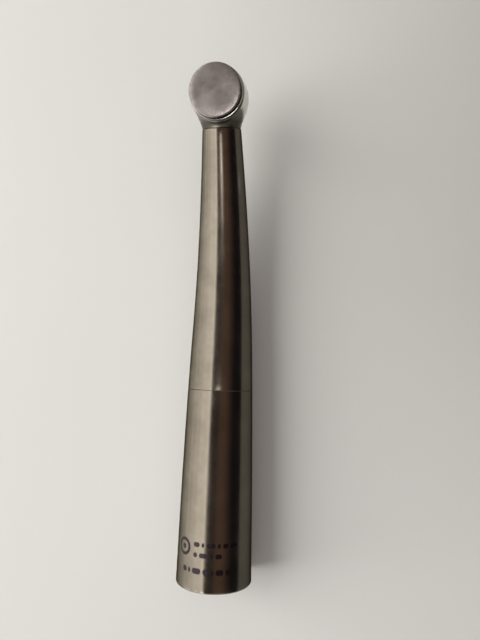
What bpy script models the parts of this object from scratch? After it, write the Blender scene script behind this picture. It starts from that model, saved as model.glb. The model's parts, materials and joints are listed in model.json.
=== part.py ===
"""Air-turbine dental handpiece, built as the assembly it is on the bench.

Frame, in metres: the origin is the centre of the rear face, where the hose coupling plugs in. +Y runs up the
handle towards the head, +Z is the side of the push button, and X = 0 is the plane of symmetry.
Every size below is in millimetres and is scaled by MM where a mesh is made.

The centreline runs straight up the handle, bends at the knee towards +Z, and ends on the rotor axis in the head.
Four empties carry the turned pieces: handle_axis (Z up the handle), neck_axis (Z from the head back down the neck),
head_axis (Z out through the button), and one empty for each moving group on the rotor axis.
"""

import math

import bmesh
import bpy
from mathutils import Matrix, Vector

MM = 0.001

# Centreline
REAR_TO_ROTOR = 106.25
HANDLE_STRAIGHT = 53.0
KNEE_RADIUS = 120.0
KNEE_ANGLE = math.radians(19.0)
KNEE_LENGTH = KNEE_RADIUS * KNEE_ANGLE
HEAD_ANGLE = math.radians(97.0)  # between the bur's direction and the way the neck points
HEAD_LEAN = KNEE_ANGLE + math.pi / 2 - HEAD_ANGLE  # of the rotor axis, from +Z towards the rear

# Outer radius of the sleeves, at distances from the rear face
OUTER_RADIUS = ((0.0, 8.30), (25.4, 7.76), (50.8, 6.95), (76.2, 5.66), (101.6, 4.17))
SEAM = 41.7
COLLAR_LENGTH = 6.4  # from the rotor axis to the neck sleeve's front edge
SEAM_GAP = 0.06
REAR_WALL = 0.75
NECK_WALL = 0.60
RIM_ROUND = 0.6

# Head, as heights on the rotor axis above the point where the neck's axis crosses it
NOSE = -6.2
HOUSING_TOP = 4.55
HOUSING_RADIUS = 6.0
CHAMBER_RADIUS = 4.75
BEARING_POCKET = 3.85
SHAFT_HOLE = 2.0
CAP_BOTTOM = 4.62
CAP_TOP = 5.40
CAP_RADIUS = 5.75
CAP_BORE = 4.70
CAP_WEB = (3.68, 3.98)
CAP_CLEARANCE = 6.25  # of the housing around the back cap
BUTTON_RADIUS = 5.43
BUTTON_TOP = 6.95
BUTTON_UNDERSIDE = 6.20
BUTTON_TRAVEL = 0.70
BUTTON_SKIRT = 4.30
BUTTON_LIP = 4.60

# Rotor
SHAFT_RADIUS = 1.55
SHAFT_HUB = 1.90
SHAFT_BOTTOM = -6.5
SHAFT_TOP = 3.50
HUB_SPAN = (-2.12, 1.18)
IMPELLER_SPAN = (-1.90, 1.00)
IMPELLER_RADIUS = 4.40
BLADES = 10
COLLET_RADIUS = 1.10
SHANK_RADIUS = 0.80  # a 1.6 mm bur shank
CHUCK_TRAVEL = 0.45

# Ball bearings
RACE_BORE = 1.60
RACE_OUTER = 3.175
RACE_WIDTH = 2.38
INNER_LAND = 2.05
OUTER_LAND = 2.72
PITCH_RADIUS = 2.38
BALL_RADIUS = 0.48
POCKET_RADIUS = 0.62
GROOVE_RADIUS = 0.545
BALLS = 7
FRONT_BEARING = -3.41
REAR_BEARING = 2.44

# Handle core, as distances from the rear face
CORE_RADIUS = 6.5
SOCKET = ((5.60, 14.0), (4.60, 24.0))  # radius and depth of each step
CORE_FRONT = 30.0
GASKET = (30.05, 30.50)
MANIFOLD = (30.55, 40.0)
MANIFOLD_RADIUS = 5.5
JOINT_RING = (37.6, 46.0)

# Lines through the neck: radius, wall, and (side, up) offset in the neck and at the manifold
LINES = {
    "drive_air_tube": (1.10, 0.20, (0.0, 1.50), (0.0, 2.70)),
    "spray_water_tube": (0.50, 0.12, (-1.90, -0.10), (-3.20, 0.0)),
    "spray_air_tube": (0.50, 0.12, (1.90, -0.10), (3.20, 0.0)),
}
LIGHT_ROD_RADIUS = 0.75
LIGHT_ROD_NECK = (0.0, -1.75)
LIGHT_ROD_MANIFOLD = (0.0, -2.70)
LINES_END = 6.6  # how far from the rotor axis the tubes end
LIGHT_ROD_END = 5.95
LENS_RADIUS = 0.50
LENS_LENGTH = 1.60
LENS_LEAN = math.radians(12.0)  # of the lens from the bur's direction, towards the bur's tip

# Clearances and facets
FIT = 0.05
PORT_FIT = 0.10  # of a line in its brazed port
CUT_PAST = 1.0  # how far a cutter runs past what it cuts
HEAD_STEPS = 36
SLEEVE_STEPS = 32
SMALL_STEPS = 24
FINE_STEPS = 18
PORT_STEPS = 9
ROUND_SECTION = 6  # sides of an O-ring's section
WIRE_SIDES = 1  # bevel resolution

COLOURS = {
    "satin_metal": ((0.40, 0.37, 0.33), 0.34, 1.0),
    "head_metal": ((0.38, 0.35, 0.32), 0.30, 1.0),
    "button_metal": ((0.42, 0.39, 0.37), 0.28, 1.0),
    "polished_steel": ((0.62, 0.60, 0.58), 0.15, 1.0),
    "spring_steel": ((0.45, 0.46, 0.48), 0.25, 1.0),
    "brass": ((0.72, 0.56, 0.28), 0.30, 1.0),
    "ceramic": ((0.10, 0.10, 0.11), 0.12, 0.0),
    "cage_plastic": ((0.28, 0.13, 0.05), 0.50, 0.0),
    "rubber": ((0.03, 0.03, 0.03), 0.70, 0.0),
    "glass": ((0.85, 0.90, 0.92), 0.05, 0.0),
}


def clear_scene():
    for obj in list(bpy.data.objects):
        bpy.data.objects.remove(obj)


def new_collection(name):
    collection = bpy.data.collections.new(name)
    bpy.context.scene.collection.children.link(collection)
    return collection


def make_materials():
    made = {}
    for name, (colour, roughness, metallic) in COLOURS.items():
        material = bpy.data.materials.new(name)
        material.use_nodes = True
        shader = material.node_tree.nodes["Principled BSDF"]
        shader.inputs["Base Color"].default_value = (*colour, 1.0)
        shader.inputs["Roughness"].default_value = roughness
        shader.inputs["Metallic"].default_value = metallic
        material.diffuse_color = (*colour, 1.0)
        made[name] = material
    return made


clear_scene()
PARTS = new_collection("high_speed_handpiece")
CUTTERS = new_collection("cutters")
MATERIALS = make_materials()


# --- Geometry of the centreline -------------------------------------------------------------------------------


def centreline(distance):
    """Point (y, z) and slope angle of the centreline, at a distance from the rear face."""
    if distance <= HANDLE_STRAIGHT:
        return distance, 0.0, 0.0
    bent = min((distance - HANDLE_STRAIGHT) / KNEE_RADIUS, KNEE_ANGLE)
    beyond = max(distance - HANDLE_STRAIGHT - KNEE_LENGTH, 0.0)
    y = HANDLE_STRAIGHT + KNEE_RADIUS * math.sin(bent) + beyond * math.cos(bent)
    z = KNEE_RADIUS * (1 - math.cos(bent)) + beyond * math.sin(bent)
    return y, z, bent


def beside_centreline(distance, side, up):
    """A point offset from the centreline, to +X and towards the button."""
    y, z, slope = centreline(distance)
    return Vector((side, y - up * math.sin(slope), z + up * math.cos(slope)))


def outer_radius(distance):
    """Radius of the outside at a distance from the rear face: a Catmull-Rom curve through OUTER_RADIUS."""
    last = len(OUTER_RADIUS) - 2
    step = OUTER_RADIUS[1][0]
    i = max(0, min(last, int(distance / step)))
    t = distance / step - i
    r0, r1, r2, r3 = (
        OUTER_RADIUS[max(0, min(last + 1, k))][1] for k in (i - 1, i, i + 1, i + 2)
    )
    if i == 0:
        r0 = 2 * r1 - r2
    if i == last:
        r3 = 2 * r2 - r1
    return 0.5 * (
        2 * r1
        + (r2 - r0) * t
        + (2 * r0 - 5 * r1 + 4 * r2 - r3) * t**2
        + (3 * r1 - r0 - 3 * r2 + r3) * t**3
    )


def smooth_step(t):
    t = max(0.0, min(1.0, t))
    return t * t * (3 - 2 * t)


# --- Building blocks ------------------------------------------------------------------------------------------


def add_empty(name, location, lean, parent=None):
    """An empty whose Z leans back from +Z by an angle about X."""
    empty = bpy.data.objects.new(name, None)
    empty.location = Vector(location) * MM
    empty.rotation_euler = (lean, 0.0, 0.0)
    empty.parent = parent
    PARTS.objects.link(empty)
    return empty


def add_object(name, data, parent, material):
    """Links an object to the part, or to the cutters where it has no material."""
    obj = bpy.data.objects.new(name, data)
    obj.parent = parent
    if material is None:
        CUTTERS.objects.link(obj)
        obj.hide_render = True
        obj.display_type = "WIRE"
    else:
        PARTS.objects.link(obj)
        data.materials.append(MATERIALS[material])
    return obj


def turned(name, profile, parent, material=None, steps=SMALL_STEPS):
    """A turned piece. The profile's (radius, height) points run down the outside and back up the inside.

    A profile that starts and ends on the axis makes a solid piece, and any other is closed into a ring.
    """
    points = [(radius * MM, 0.0, height * MM) for radius, height in profile]
    edges = [(i, i + 1) for i in range(len(points) - 1)]
    if profile[0][0] > 0 or profile[-1][0] > 0:
        edges.append((len(points) - 1, 0))
    mesh = bpy.data.meshes.new(name)
    mesh.from_pydata(points, edges, [])
    obj = add_object(name, mesh, parent, material)
    screw = obj.modifiers.new("turn", "SCREW")
    screw.axis = "Z"
    screw.angle = 2 * math.pi
    screw.steps = screw.render_steps = steps
    screw.use_merge_vertices = True
    screw.merge_threshold = 1e-6
    screw.use_smooth_shade = True
    return obj


def ring(name, inner, outer, bottom, top, parent, material=None, steps=SMALL_STEPS, chamfer=0.0):
    """A plain turned ring, with its outer edges chamfered."""
    profile = [
        (outer - chamfer, top),
        (outer, top - chamfer),
        (outer, bottom + chamfer),
        (outer - chamfer, bottom),
        (inner, bottom),
        (inner, top),
    ]
    if not chamfer:
        profile = profile[1:3] + profile[4:]
    return turned(name, profile, parent, material, steps)


def rod(name, radius, bottom, top, parent, material=None, steps=FINE_STEPS):
    """A plain cylinder along the parent's Z."""
    mesh = bpy.data.meshes.new(name)
    shape = bmesh.new()
    bmesh.ops.create_cone(
        shape,
        cap_ends=True,
        segments=steps,
        radius1=radius * MM,
        radius2=radius * MM,
        depth=(top - bottom) * MM,
        matrix=Matrix.Translation((0.0, 0.0, (bottom + top) / 2 * MM)),
    )
    shape.to_mesh(mesh)
    shape.free()
    return add_object(name, mesh, parent, material)


def box(name, size, centre, parent, material=None):
    """A block with its sides along the parent's axes."""
    mesh = bpy.data.meshes.new(name)
    shape = bmesh.new()
    scale = Matrix.Diagonal((*(Vector(size) * MM), 1.0))
    bmesh.ops.create_cube(shape, size=1.0, matrix=Matrix.Translation(Vector(centre) * MM) @ scale)
    shape.to_mesh(mesh)
    shape.free()
    return add_object(name, mesh, parent, material)


def combine(target, other, operation="DIFFERENCE"):
    boolean = target.modifiers.new(other.name, "BOOLEAN")
    boolean.operation = operation
    boolean.object = other
    boolean.solver = "EXACT"


def turn_about_z(obj, angle, offset=(0.0, 0.0, 0.0)):
    """Places a cutter or a copy at an angle round the parent's Z."""
    place = Matrix.Rotation(angle, 4, "Z") @ Matrix.Translation(Vector(offset) * MM)
    obj.matrix_local = place


def wire(name, points, radius, material, parent=None, sides=WIRE_SIDES):
    """A round wire or rod through points given in millimetres in the parent's frame."""
    curve = bpy.data.curves.new(name, "CURVE")
    curve.dimensions = "3D"
    curve.bevel_depth = radius * MM
    curve.bevel_resolution = sides
    curve.use_fill_caps = True
    spline = curve.splines.new("POLY")
    spline.points.add(len(points) - 1)
    for point, place in zip(spline.points, points):
        point.co = (*(Vector(place) * MM), 1.0)
    return add_object(name, curve, parent, material)


def swept_skin(name, places, radii, sides, material, wall):
    """A tube along places whose outside has the given radii, hollowed by a Solidify modifier."""
    curve = bpy.data.curves.new(name + "_guide", "CURVE")
    curve.dimensions = "3D"
    curve.twist_mode = "Z_UP"
    curve.bevel_depth = MM
    curve.bevel_resolution = sides
    spline = curve.splines.new("POLY")
    spline.points.add(len(places) - 1)
    for point, place, radius in zip(spline.points, places, radii):
        point.co = (*(place * MM), 1.0)
        point.radius = radius
    guide = bpy.data.objects.new(name + "_guide", curve)
    bpy.context.scene.collection.objects.link(guide)
    bpy.context.view_layer.update()
    evaluated = guide.evaluated_get(bpy.context.evaluated_depsgraph_get())
    mesh = bpy.data.meshes.new_from_object(evaluated)
    bpy.data.objects.remove(guide)
    mesh.name = name
    mesh.materials.clear()
    mesh.shade_smooth()
    obj = add_object(name, mesh, None, material)
    solidify = obj.modifiers.new("wall", "SOLIDIFY")
    solidify.thickness = wall * MM
    solidify.offset = -1.0
    solidify.use_rim = True
    return obj


def coil(radius, bottom, top, turns, per_turn=12):
    """Points along a coil spring with a closed turn at each end."""
    count = int(turns * per_turn)
    found = []
    for i in range(count + 1):
        t = i / count
        rise = smooth_step((t * turns - 0.5) / (turns - 1))
        angle = 2 * math.pi * turns * t
        found.append(
            (radius * math.cos(angle), radius * math.sin(angle), bottom + (top - bottom) * rise)
        )
    return found


def groove_arc(centre_radius, outwards, half_land, count=3):
    """Points (radius, height) of a ball groove, from its top edge to its bottom edge."""
    reach = math.asin(half_land / GROOVE_RADIUS)
    side = 1 if outwards else -1
    angles = [reach - 2 * reach * i / count for i in range(count + 1)]
    return [
        (centre_radius + side * GROOVE_RADIUS * math.cos(a), GROOVE_RADIUS * math.sin(a))
        for a in angles
    ]


# --- Axes -----------------------------------------------------------------------------------------------------

HEAD_Y, HEAD_Z, _ = centreline(REAR_TO_ROTOR)
HEAD_CENTRE = (0.0, HEAD_Y, HEAD_Z)

handle_axis = add_empty("handle_axis", (0.0, 0.0, 0.0), -math.pi / 2)
neck_axis = add_empty("neck_axis", HEAD_CENTRE, math.pi / 2 + KNEE_ANGLE)
head_axis = add_empty("head_axis", HEAD_CENTRE, HEAD_LEAN)
rotor_axis = add_empty("rotor_axis", (0.0, 0.0, 0.0), 0.0, head_axis)
chuck_axis = add_empty("chuck_axis", (0.0, 0.0, 0.0), 0.0, head_axis)
button_axis = add_empty("button_axis", (0.0, 0.0, 0.0), 0.0, head_axis)
cage_axes = {
    "front": add_empty("front_cage_axis", (0.0, 0.0, FRONT_BEARING), 0.0, head_axis),
    "rear": add_empty("rear_cage_axis", (0.0, 0.0, REAR_BEARING), 0.0, head_axis),
}
bpy.context.view_layer.update()


# --- Outer sleeves --------------------------------------------------------------------------------------------


def make_rear_sleeve():
    """Straight tapered sleeve, with a rounded rear rim, a counterbore for the core and a lead at the seam."""
    stations = [SEAM - SEAM_GAP - 0.08, 34.0, 25.4, 17.0, 8.5]
    rim = [
        (
            outer_radius(0) - RIM_ROUND * (1 - math.cos(a)),
            RIM_ROUND * (1 - math.sin(a)),
        )
        for a in (math.radians(d) for d in (0, 22.5, 45, 67.5, 90))
    ]
    profile = [(outer_radius(SEAM) - 0.08, SEAM - SEAM_GAP)]
    profile += [(outer_radius(s), s) for s in stations]
    profile += rim
    profile += [(7.45, 0.0), (7.45, 2.0), (7.10, 2.0), (7.10, 8.0), (7.25, 8.4)]
    profile += [(outer_radius(s) - REAR_WALL, s) for s in (17.0, 25.4, 34.0)]
    profile += [(outer_radius(SEAM) - REAR_WALL, SEAM - SEAM_GAP)]
    return turned("rear_sleeve", profile, handle_axis, "satin_metal", SLEEVE_STEPS)


def make_neck_sleeve():
    """Curved tapered sleeve from the seam to the head's collar."""
    front = REAR_TO_ROTOR - COLLAR_LENGTH
    count = 11
    places = []
    radii = []
    for i in range(count):
        s = SEAM + (front - SEAM) * i / (count - 1)
        places.append(beside_centreline(s, 0.0, 0.0))
        radii.append(outer_radius(s))
    return swept_skin("neck_sleeve", places, radii, (SLEEVE_STEPS - 4) // 2, "satin_metal", NECK_WALL)


make_rear_sleeve()
make_neck_sleeve()


# --- Handle core ----------------------------------------------------------------------------------------------

PORTS = {name: (radius, at) for name, (radius, _, _, at) in LINES.items()}
PORTS["light_rod"] = (LIGHT_ROD_RADIUS, LIGHT_ROD_MANIFOLD)
EXHAUST_PORTS = ((1.95, 1.95), (-1.95, 1.95), (1.95, -2.05), (-1.95, -2.05))
EXHAUST_RADIUS = 0.75


def cut_ports(target, bottom, top, extra=PORT_FIT):
    """Bores the lines' holes and the exhaust holes through a piece of the handle core."""
    holes = [(name, radius + extra, at) for name, (radius, at) in PORTS.items()]
    holes += [(f"exhaust_{i}", EXHAUST_RADIUS, at) for i, at in enumerate(EXHAUST_PORTS)]
    for name, radius, (side, up) in holes:
        cutter = rod(f"{target.name}_{name}_hole", radius, bottom, top, handle_axis, steps=PORT_STEPS)
        cutter.location = (side * MM, -up * MM, 0.0)
        combine(target, cutter)


def make_coupling_body():
    """Turned insert with the stepped socket that takes the hose coupling."""
    (mouth, shoulder), (bore, bottom) = SOCKET
    groove = (8.0, 9.4, 6.10)
    chamfer = 0.35
    profile = [
        (0.0, CORE_FRONT),
        (CORE_RADIUS - chamfer, CORE_FRONT),
        (CORE_RADIUS, CORE_FRONT - chamfer),
        (CORE_RADIUS, 8.6),
        (7.0, 7.9),
        (7.0, 1.9),
        (7.3, 1.9),
        (7.3, 0.1),
        (7.2, 0.0),
        (mouth + chamfer, 0.0),
        (mouth, chamfer),
        (mouth, groove[0]),
        (groove[2], groove[0]),
        (groove[2], groove[1]),
        (mouth, groove[1]),
        (mouth, shoulder - chamfer),
        (bore + 0.2, shoulder),
        (bore, shoulder + 0.2),
        (bore, bottom),
        (0.0, bottom),
    ]
    body = turned("coupling_body", profile, handle_axis, "polished_steel", SLEEVE_STEPS)
    cut_ports(body, bottom - CUT_PAST, CORE_FRONT + CUT_PAST, extra=0.0)
    for i in range(4):
        notch = box(f"spanner_slot_{i}", (1.2, 2.2, 1.6), (0.0, 0.0, 0.0), handle_axis)
        turn_about_z(notch, math.pi / 4 + i * math.pi / 2, (0.0, 7.4, 0.0))
        combine(body, notch)
    return body


def make_detent_ring():
    """Open spring ring that clicks into the coupling's groove."""
    detent = ring("detent_ring", 5.68, 6.05, 8.1, 9.3, handle_axis, "spring_steel", SLEEVE_STEPS)
    gap = box("detent_gap", (1.0, 2.0, 3.0), (0.0, -5.9, 8.7), handle_axis)
    combine(detent, gap)


def make_manifold():
    """Block that the neck's tubes are brazed into, and its rubber face gasket."""
    profile = [
        (0.0, MANIFOLD[1]),
        (MANIFOLD_RADIUS - 0.3, MANIFOLD[1]),
        (MANIFOLD_RADIUS, MANIFOLD[1] - 0.3),
        (MANIFOLD_RADIUS, 37.4),
        (6.2, 37.4),
        (6.2, MANIFOLD[0]),
        (0.0, MANIFOLD[0]),
    ]
    block = turned("manifold_block", profile, handle_axis, "brass")
    cut_ports(block, MANIFOLD[0] - CUT_PAST, MANIFOLD[1] + CUT_PAST)
    seat = rod("valve_seat", 0.90, MANIFOLD[0] - CUT_PAST, MANIFOLD[0] + 3.3, handle_axis, steps=16)
    seat.location = (LINES["spray_water_tube"][3][0] * MM, 0.0, 0.0)
    combine(block, seat)
    gasket_profile = [(0.0, GASKET[1]), (6.2, GASKET[1]), (6.2, GASKET[0]), (0.0, GASKET[0])]
    gasket = turned("manifold_gasket", gasket_profile, handle_axis, "rubber")
    cut_ports(gasket, GASKET[0] - CUT_PAST, GASKET[1] + CUT_PAST)
    return block


def make_non_return_valve():
    """Small rubber valve in the water port, which stops spray water being drawn back."""
    start = MANIFOLD[0] + 0.1
    profile = [
        (0.30, start + 3.0),
        (0.50, start + 2.6),
        (0.55, start + 1.0),
        (0.82, start + 0.9),
        (0.82, start),
        (0.30, start),
        (0.22, start + 1.0),
        (0.08, start + 3.0),
    ]
    valve = turned("non_return_valve", profile, handle_axis, "rubber", 16)
    valve.location = (LINES["spray_water_tube"][3][0] * MM, 0.0, 0.0)


def make_joint_ring(manifold):
    """Ring under the seam that both sleeves sit on, with its seal and the pin that fixes the neck's angle."""
    groove = (39.4, 40.4, 6.08)
    profile = [
        (6.10, JOINT_RING[1]),
        (6.30, JOINT_RING[1] - 0.3),
        (6.30, 41.9),
        (6.45, 41.4),
        (6.45, groove[1]),
        (groove[2], groove[1]),
        (groove[2], groove[0]),
        (6.45, groove[0]),
        (6.45, JOINT_RING[0] + 0.2),
        (6.25, JOINT_RING[0]),
        (5.60, JOINT_RING[0]),
        (5.60, JOINT_RING[1]),
    ]
    joint = turned("joint_ring", profile, handle_axis, "polished_steel", SLEEVE_STEPS)
    section = 0.20
    middle = sum(groove[:2]) / 2
    seal = [
        (6.32 + section * math.cos(a), middle + section * 1.6 * math.sin(a))
        for a in (math.pi / 2 - 2 * math.pi * i / ROUND_SECTION for i in range(ROUND_SECTION))
    ]
    turned("joint_o_ring", seal, handle_axis, "rubber", SLEEVE_STEPS)
    pin_axis = add_empty("pin_axis", (0.0, 38.6, 0.0), math.pi)
    rod("index_pin", 0.35, 4.7, 6.2, pin_axis, "polished_steel", 16)
    pin_hole = rod("pin_hole", 0.41, 4.6, 7.5, pin_axis, steps=16)
    combine(joint, pin_hole)
    combine(manifold, pin_hole)


make_coupling_body()
make_detent_ring()
manifold_block = make_manifold()
make_non_return_valve()
make_joint_ring(manifold_block)


# --- Lines through the neck -----------------------------------------------------------------------------------


def line_places(neck_offset, manifold_offset, start, end, count):
    """Points of a line whose offset eases from the manifold's port to its place in the neck."""
    places = []
    for i in range(count):
        s = start + (end - start) * i / (count - 1)
        ease = smooth_step((s - MANIFOLD[1] - 1.0) / 30.0)
        side = manifold_offset[0] + (neck_offset[0] - manifold_offset[0]) * ease
        up = manifold_offset[1] + (neck_offset[1] - manifold_offset[1]) * ease
        places.append(beside_centreline(s, side, up))
    return places


def make_lines():
    ends = REAR_TO_ROTOR - LINES_END
    for name, (radius, wall, neck_offset, manifold_offset) in LINES.items():
        start = MANIFOLD[0] + (4.0 if name == "spray_water_tube" else 1.0)
        places = line_places(neck_offset, manifold_offset, start, ends, 12)
        swept_skin(name, places, [radius] * len(places), 2, "spring_steel", wall)
    ends = REAR_TO_ROTOR - LIGHT_ROD_END
    places = line_places(LIGHT_ROD_NECK, LIGHT_ROD_MANIFOLD, CORE_FRONT - 5.0, ends, 14)
    wire("light_rod", places, LIGHT_ROD_RADIUS - FIT, "glass", sides=2)


make_lines()


# --- Head housing ---------------------------------------------------------------------------------------------


def lens_axis_empty():
    """Axis of the light lens, out through the collar's underside towards the tip of a bur."""
    back = 4.95
    down = 5.00
    return add_empty("lens_axis", (0.0, -back, -down), math.pi + LENS_LEAN, head_axis)


def make_head_housing(lens_axis):
    """Cast head with the collar and spigot for the neck sleeve."""
    body = [
        (0.0, HOUSING_TOP),
        (5.62, HOUSING_TOP),
        (5.86, HOUSING_TOP - 0.22),
        (5.96, 3.0),
        (HOUSING_RADIUS, 1.0),
        (5.93, -1.2),
        (5.68, -2.8),
        (5.18, -4.2),
        (4.62, -5.2),
        (4.20, -5.8),
        (3.90, NOSE),
        (0.0, NOSE),
    ]
    housing = turned("head_housing", body, head_axis, "head_metal", HEAD_STEPS)
    end = COLLAR_LENGTH - SEAM_GAP
    collar = [
        (0.0, 11.0),
        (3.2, 11.0),
        (3.50, 10.7),
        (3.50, end),
        (4.20, end),
        (4.26, end - 0.08),
        (4.33, 5.8),
        (4.48, 5.2),
        (4.70, 4.6),
        (4.90, 4.0),
        (4.90, 2.0),
        (0.0, 2.0),
    ]
    combine(housing, turned("collar", collar, neck_axis, steps=SLEEVE_STEPS), "UNION")
    clearance = [
        (0.0, 9.0),
        (CAP_CLEARANCE + 0.5, 9.0),
        (CAP_CLEARANCE + 0.2, CAP_TOP),
        (CAP_CLEARANCE - 0.3, HOUSING_TOP + 0.05),
        (5.70, HOUSING_TOP + 0.03),
        (5.0, HOUSING_TOP - 0.4),
        (0.0, HOUSING_TOP - 0.4),
    ]
    combine(housing, turned("cap_clearance", clearance, head_axis, steps=HEAD_STEPS))
    bores = [
        (0.0, HOUSING_TOP + CUT_PAST),
        (5.2, HOUSING_TOP + CUT_PAST),
        (5.2, 3.0),
        (CHAMBER_RADIUS, 3.0),
        (CHAMBER_RADIUS, -2.1),
        (BEARING_POCKET, -2.1),
        (BEARING_POCKET, -5.0),
        (SHAFT_HOLE, -5.0),
        (SHAFT_HOLE, -5.5),
        (3.30, -5.5),
        (3.30, NOSE - CUT_PAST),
        (0.0, NOSE - CUT_PAST),
    ]
    combine(housing, turned("head_bores", bores, head_axis, steps=HEAD_STEPS))
    combine(housing, rod("spigot_bore", 2.9, 7.4, 14.0, neck_axis, steps=SMALL_STEPS))
    for name, (radius, _, (side, up), _) in LINES.items():
        socket = rod(f"{name}_socket", radius + FIT, 6.3, 9.0, neck_axis, steps=16)
        socket.location = (side * MM, up * MM, 0.0)
        combine(housing, socket)
    jet = rod("drive_jet", 0.7, 3.0, 7.0, neck_axis, steps=12)
    jet.location = (0.0, LINES["drive_air_tube"][2][1] * MM, 0.0)
    combine(housing, jet)
    for side in (-1.75, 1.75):
        exhaust = rod(f"head_exhaust_{side:+.0f}", 0.45, 3.0, 9.0, neck_axis, steps=12)
        exhaust.location = (side * MM, -1.35 * MM, 0.0)
        combine(housing, exhaust)
    light_port = rod("light_port", LIGHT_ROD_RADIUS + 0.03, 5.3, 7.6, neck_axis, steps=16)
    light_port.location = (0.0, LIGHT_ROD_NECK[1] * MM, 0.0)
    combine(housing, light_port)
    lens_hole = rod("lens_hole", LENS_RADIUS + FIT, -2.4, 1.0, lens_axis, steps=20)
    combine(housing, lens_hole)
    return housing


def make_light_lens(lens_axis):
    """Glass end of the light path, a short rod with a slightly domed face."""
    profile = [
        (0.0, 0.12),
        (0.45, 0.09),
        (LENS_RADIUS, 0.0),
        (LENS_RADIUS, -LENS_LENGTH),
        (0.0, -LENS_LENGTH),
    ]
    turned("light_lens", profile, lens_axis, "glass", 20)


def make_nozzle_ring():
    """Ring pressed into the nose, with four spray holes round the bur."""
    nozzle = ring("nozzle_ring", 1.95, 3.25, NOSE, -5.55, head_axis, "polished_steel", SMALL_STEPS)
    for i in range(4):
        hole = rod(f"spray_hole_{i}", 0.25, NOSE - CUT_PAST, -5.0, head_axis, steps=10)
        turn_about_z(hole, math.pi / 4 + i * math.pi / 2, (2.62, 0.0, 0.0))
        combine(nozzle, hole)


lens_axis = lens_axis_empty()
make_head_housing(lens_axis)
make_light_lens(lens_axis)
make_nozzle_ring()


# --- Bearings -------------------------------------------------------------------------------------------------


def make_bearing(end, centre, shield_side):
    """One ball bearing: two races, a shield on its outboard side, a cage and its balls."""
    half = RACE_WIDTH / 2
    inner = [(INNER_LAND - 0.08, half), (INNER_LAND, half - 0.08)]
    inner += groove_arc(PITCH_RADIUS, False, 0.41)
    inner += [(INNER_LAND, -half + 0.08), (INNER_LAND - 0.08, -half), (RACE_BORE, -half), (RACE_BORE, half)]
    inner = [(r, centre + z) for r, z in inner]
    turned(f"{end}_inner_race", inner, rotor_axis, "polished_steel", SMALL_STEPS)
    outer = [(RACE_OUTER - 0.1, half), (RACE_OUTER, half - 0.1), (RACE_OUTER, -half + 0.1)]
    outer += [(RACE_OUTER - 0.1, -half), (OUTER_LAND, -half)]
    outer += reversed(groove_arc(PITCH_RADIUS, True, 0.41))
    outer += [(OUTER_LAND, half)]
    outer = [(r, centre + z) for r, z in outer]
    turned(f"{end}_outer_race", outer, head_axis, "polished_steel", SMALL_STEPS)
    at = centre + shield_side * (half - 0.15)
    ring(f"{end}_shield", INNER_LAND + 0.07, OUTER_LAND - FIT, at - 0.06, at + 0.06, head_axis, "spring_steel")
    cage = ring(f"{end}_cage", 2.14, 2.62, -0.80, 0.80, cage_axes[end], "cage_plastic", 21)
    ball = bpy.data.meshes.new(f"{end}_ball")
    shape = bmesh.new()
    bmesh.ops.create_uvsphere(shape, u_segments=9, v_segments=6, radius=BALL_RADIUS * MM)
    shape.to_mesh(ball)
    shape.free()
    ball.shade_smooth()
    ball.materials.append(MATERIALS["ceramic"])
    for i in range(BALLS):
        angle = 2 * math.pi * i / BALLS
        place = (PITCH_RADIUS * math.cos(angle) * MM, PITCH_RADIUS * math.sin(angle) * MM, 0.0)
        one = bpy.data.objects.new(f"{end}_ball_{i + 1}", ball)
        one.parent = cage_axes[end]
        one.location = place
        PARTS.objects.link(one)
        pocket = rod(f"{end}_pocket_{i + 1}", POCKET_RADIUS, -1.0, 1.0, cage_axes[end], steps=6)
        turn = Matrix.Rotation(angle, 4, "Z") @ Matrix.Rotation(math.pi / 2, 4, "Y")
        pocket.matrix_local = Matrix.Translation(place) @ turn
        combine(cage, pocket)


def make_wave_washer(name, radii, half, centre, wave, steps=24):
    """Thin spring washer with three waves."""
    corners = ((radii[1], half), (radii[1], -half), (radii[0], -half), (radii[0], half))
    points = []
    faces = []
    for i in range(steps):
        angle = 2 * math.pi * i / steps
        lift = centre + wave * math.sin(3 * angle)
        points += [
            (r * math.cos(angle) * MM, r * math.sin(angle) * MM, (lift + z) * MM)
            for r, z in corners
        ]
        here, following = 4 * i, 4 * ((i + 1) % steps)
        faces += [
            (here + k, here + (k + 1) % 4, following + (k + 1) % 4, following + k)
            for k in range(4)
        ]
    mesh = bpy.data.meshes.new(name)
    mesh.from_pydata(points, [], faces)
    return add_object(name, mesh, head_axis, "spring_steel")


def make_bearing_mounts():
    """The O-rings that carry the outer races and the washer that preloads them."""
    for end, centre in (("front", FRONT_BEARING), ("rear", REAR_BEARING)):
        section = 0.27
        middle = (RACE_OUTER + BEARING_POCKET) / 2
        round_section = [
            (middle + section * math.cos(a), centre + 0.3 * math.sin(a))
            for a in (math.pi / 2 - 2 * math.pi * i / ROUND_SECTION for i in range(ROUND_SECTION))
        ]
        turned(f"{end}_o_ring", round_section, head_axis, "rubber", SMALL_STEPS)
    make_wave_washer("preload_washer", (2.30, 3.30), 0.05, -4.80, 0.11)


make_bearing("front", FRONT_BEARING, -1)
make_bearing("rear", REAR_BEARING, 1)
make_bearing_mounts()


# --- Rotor and chuck ------------------------------------------------------------------------------------------


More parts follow.
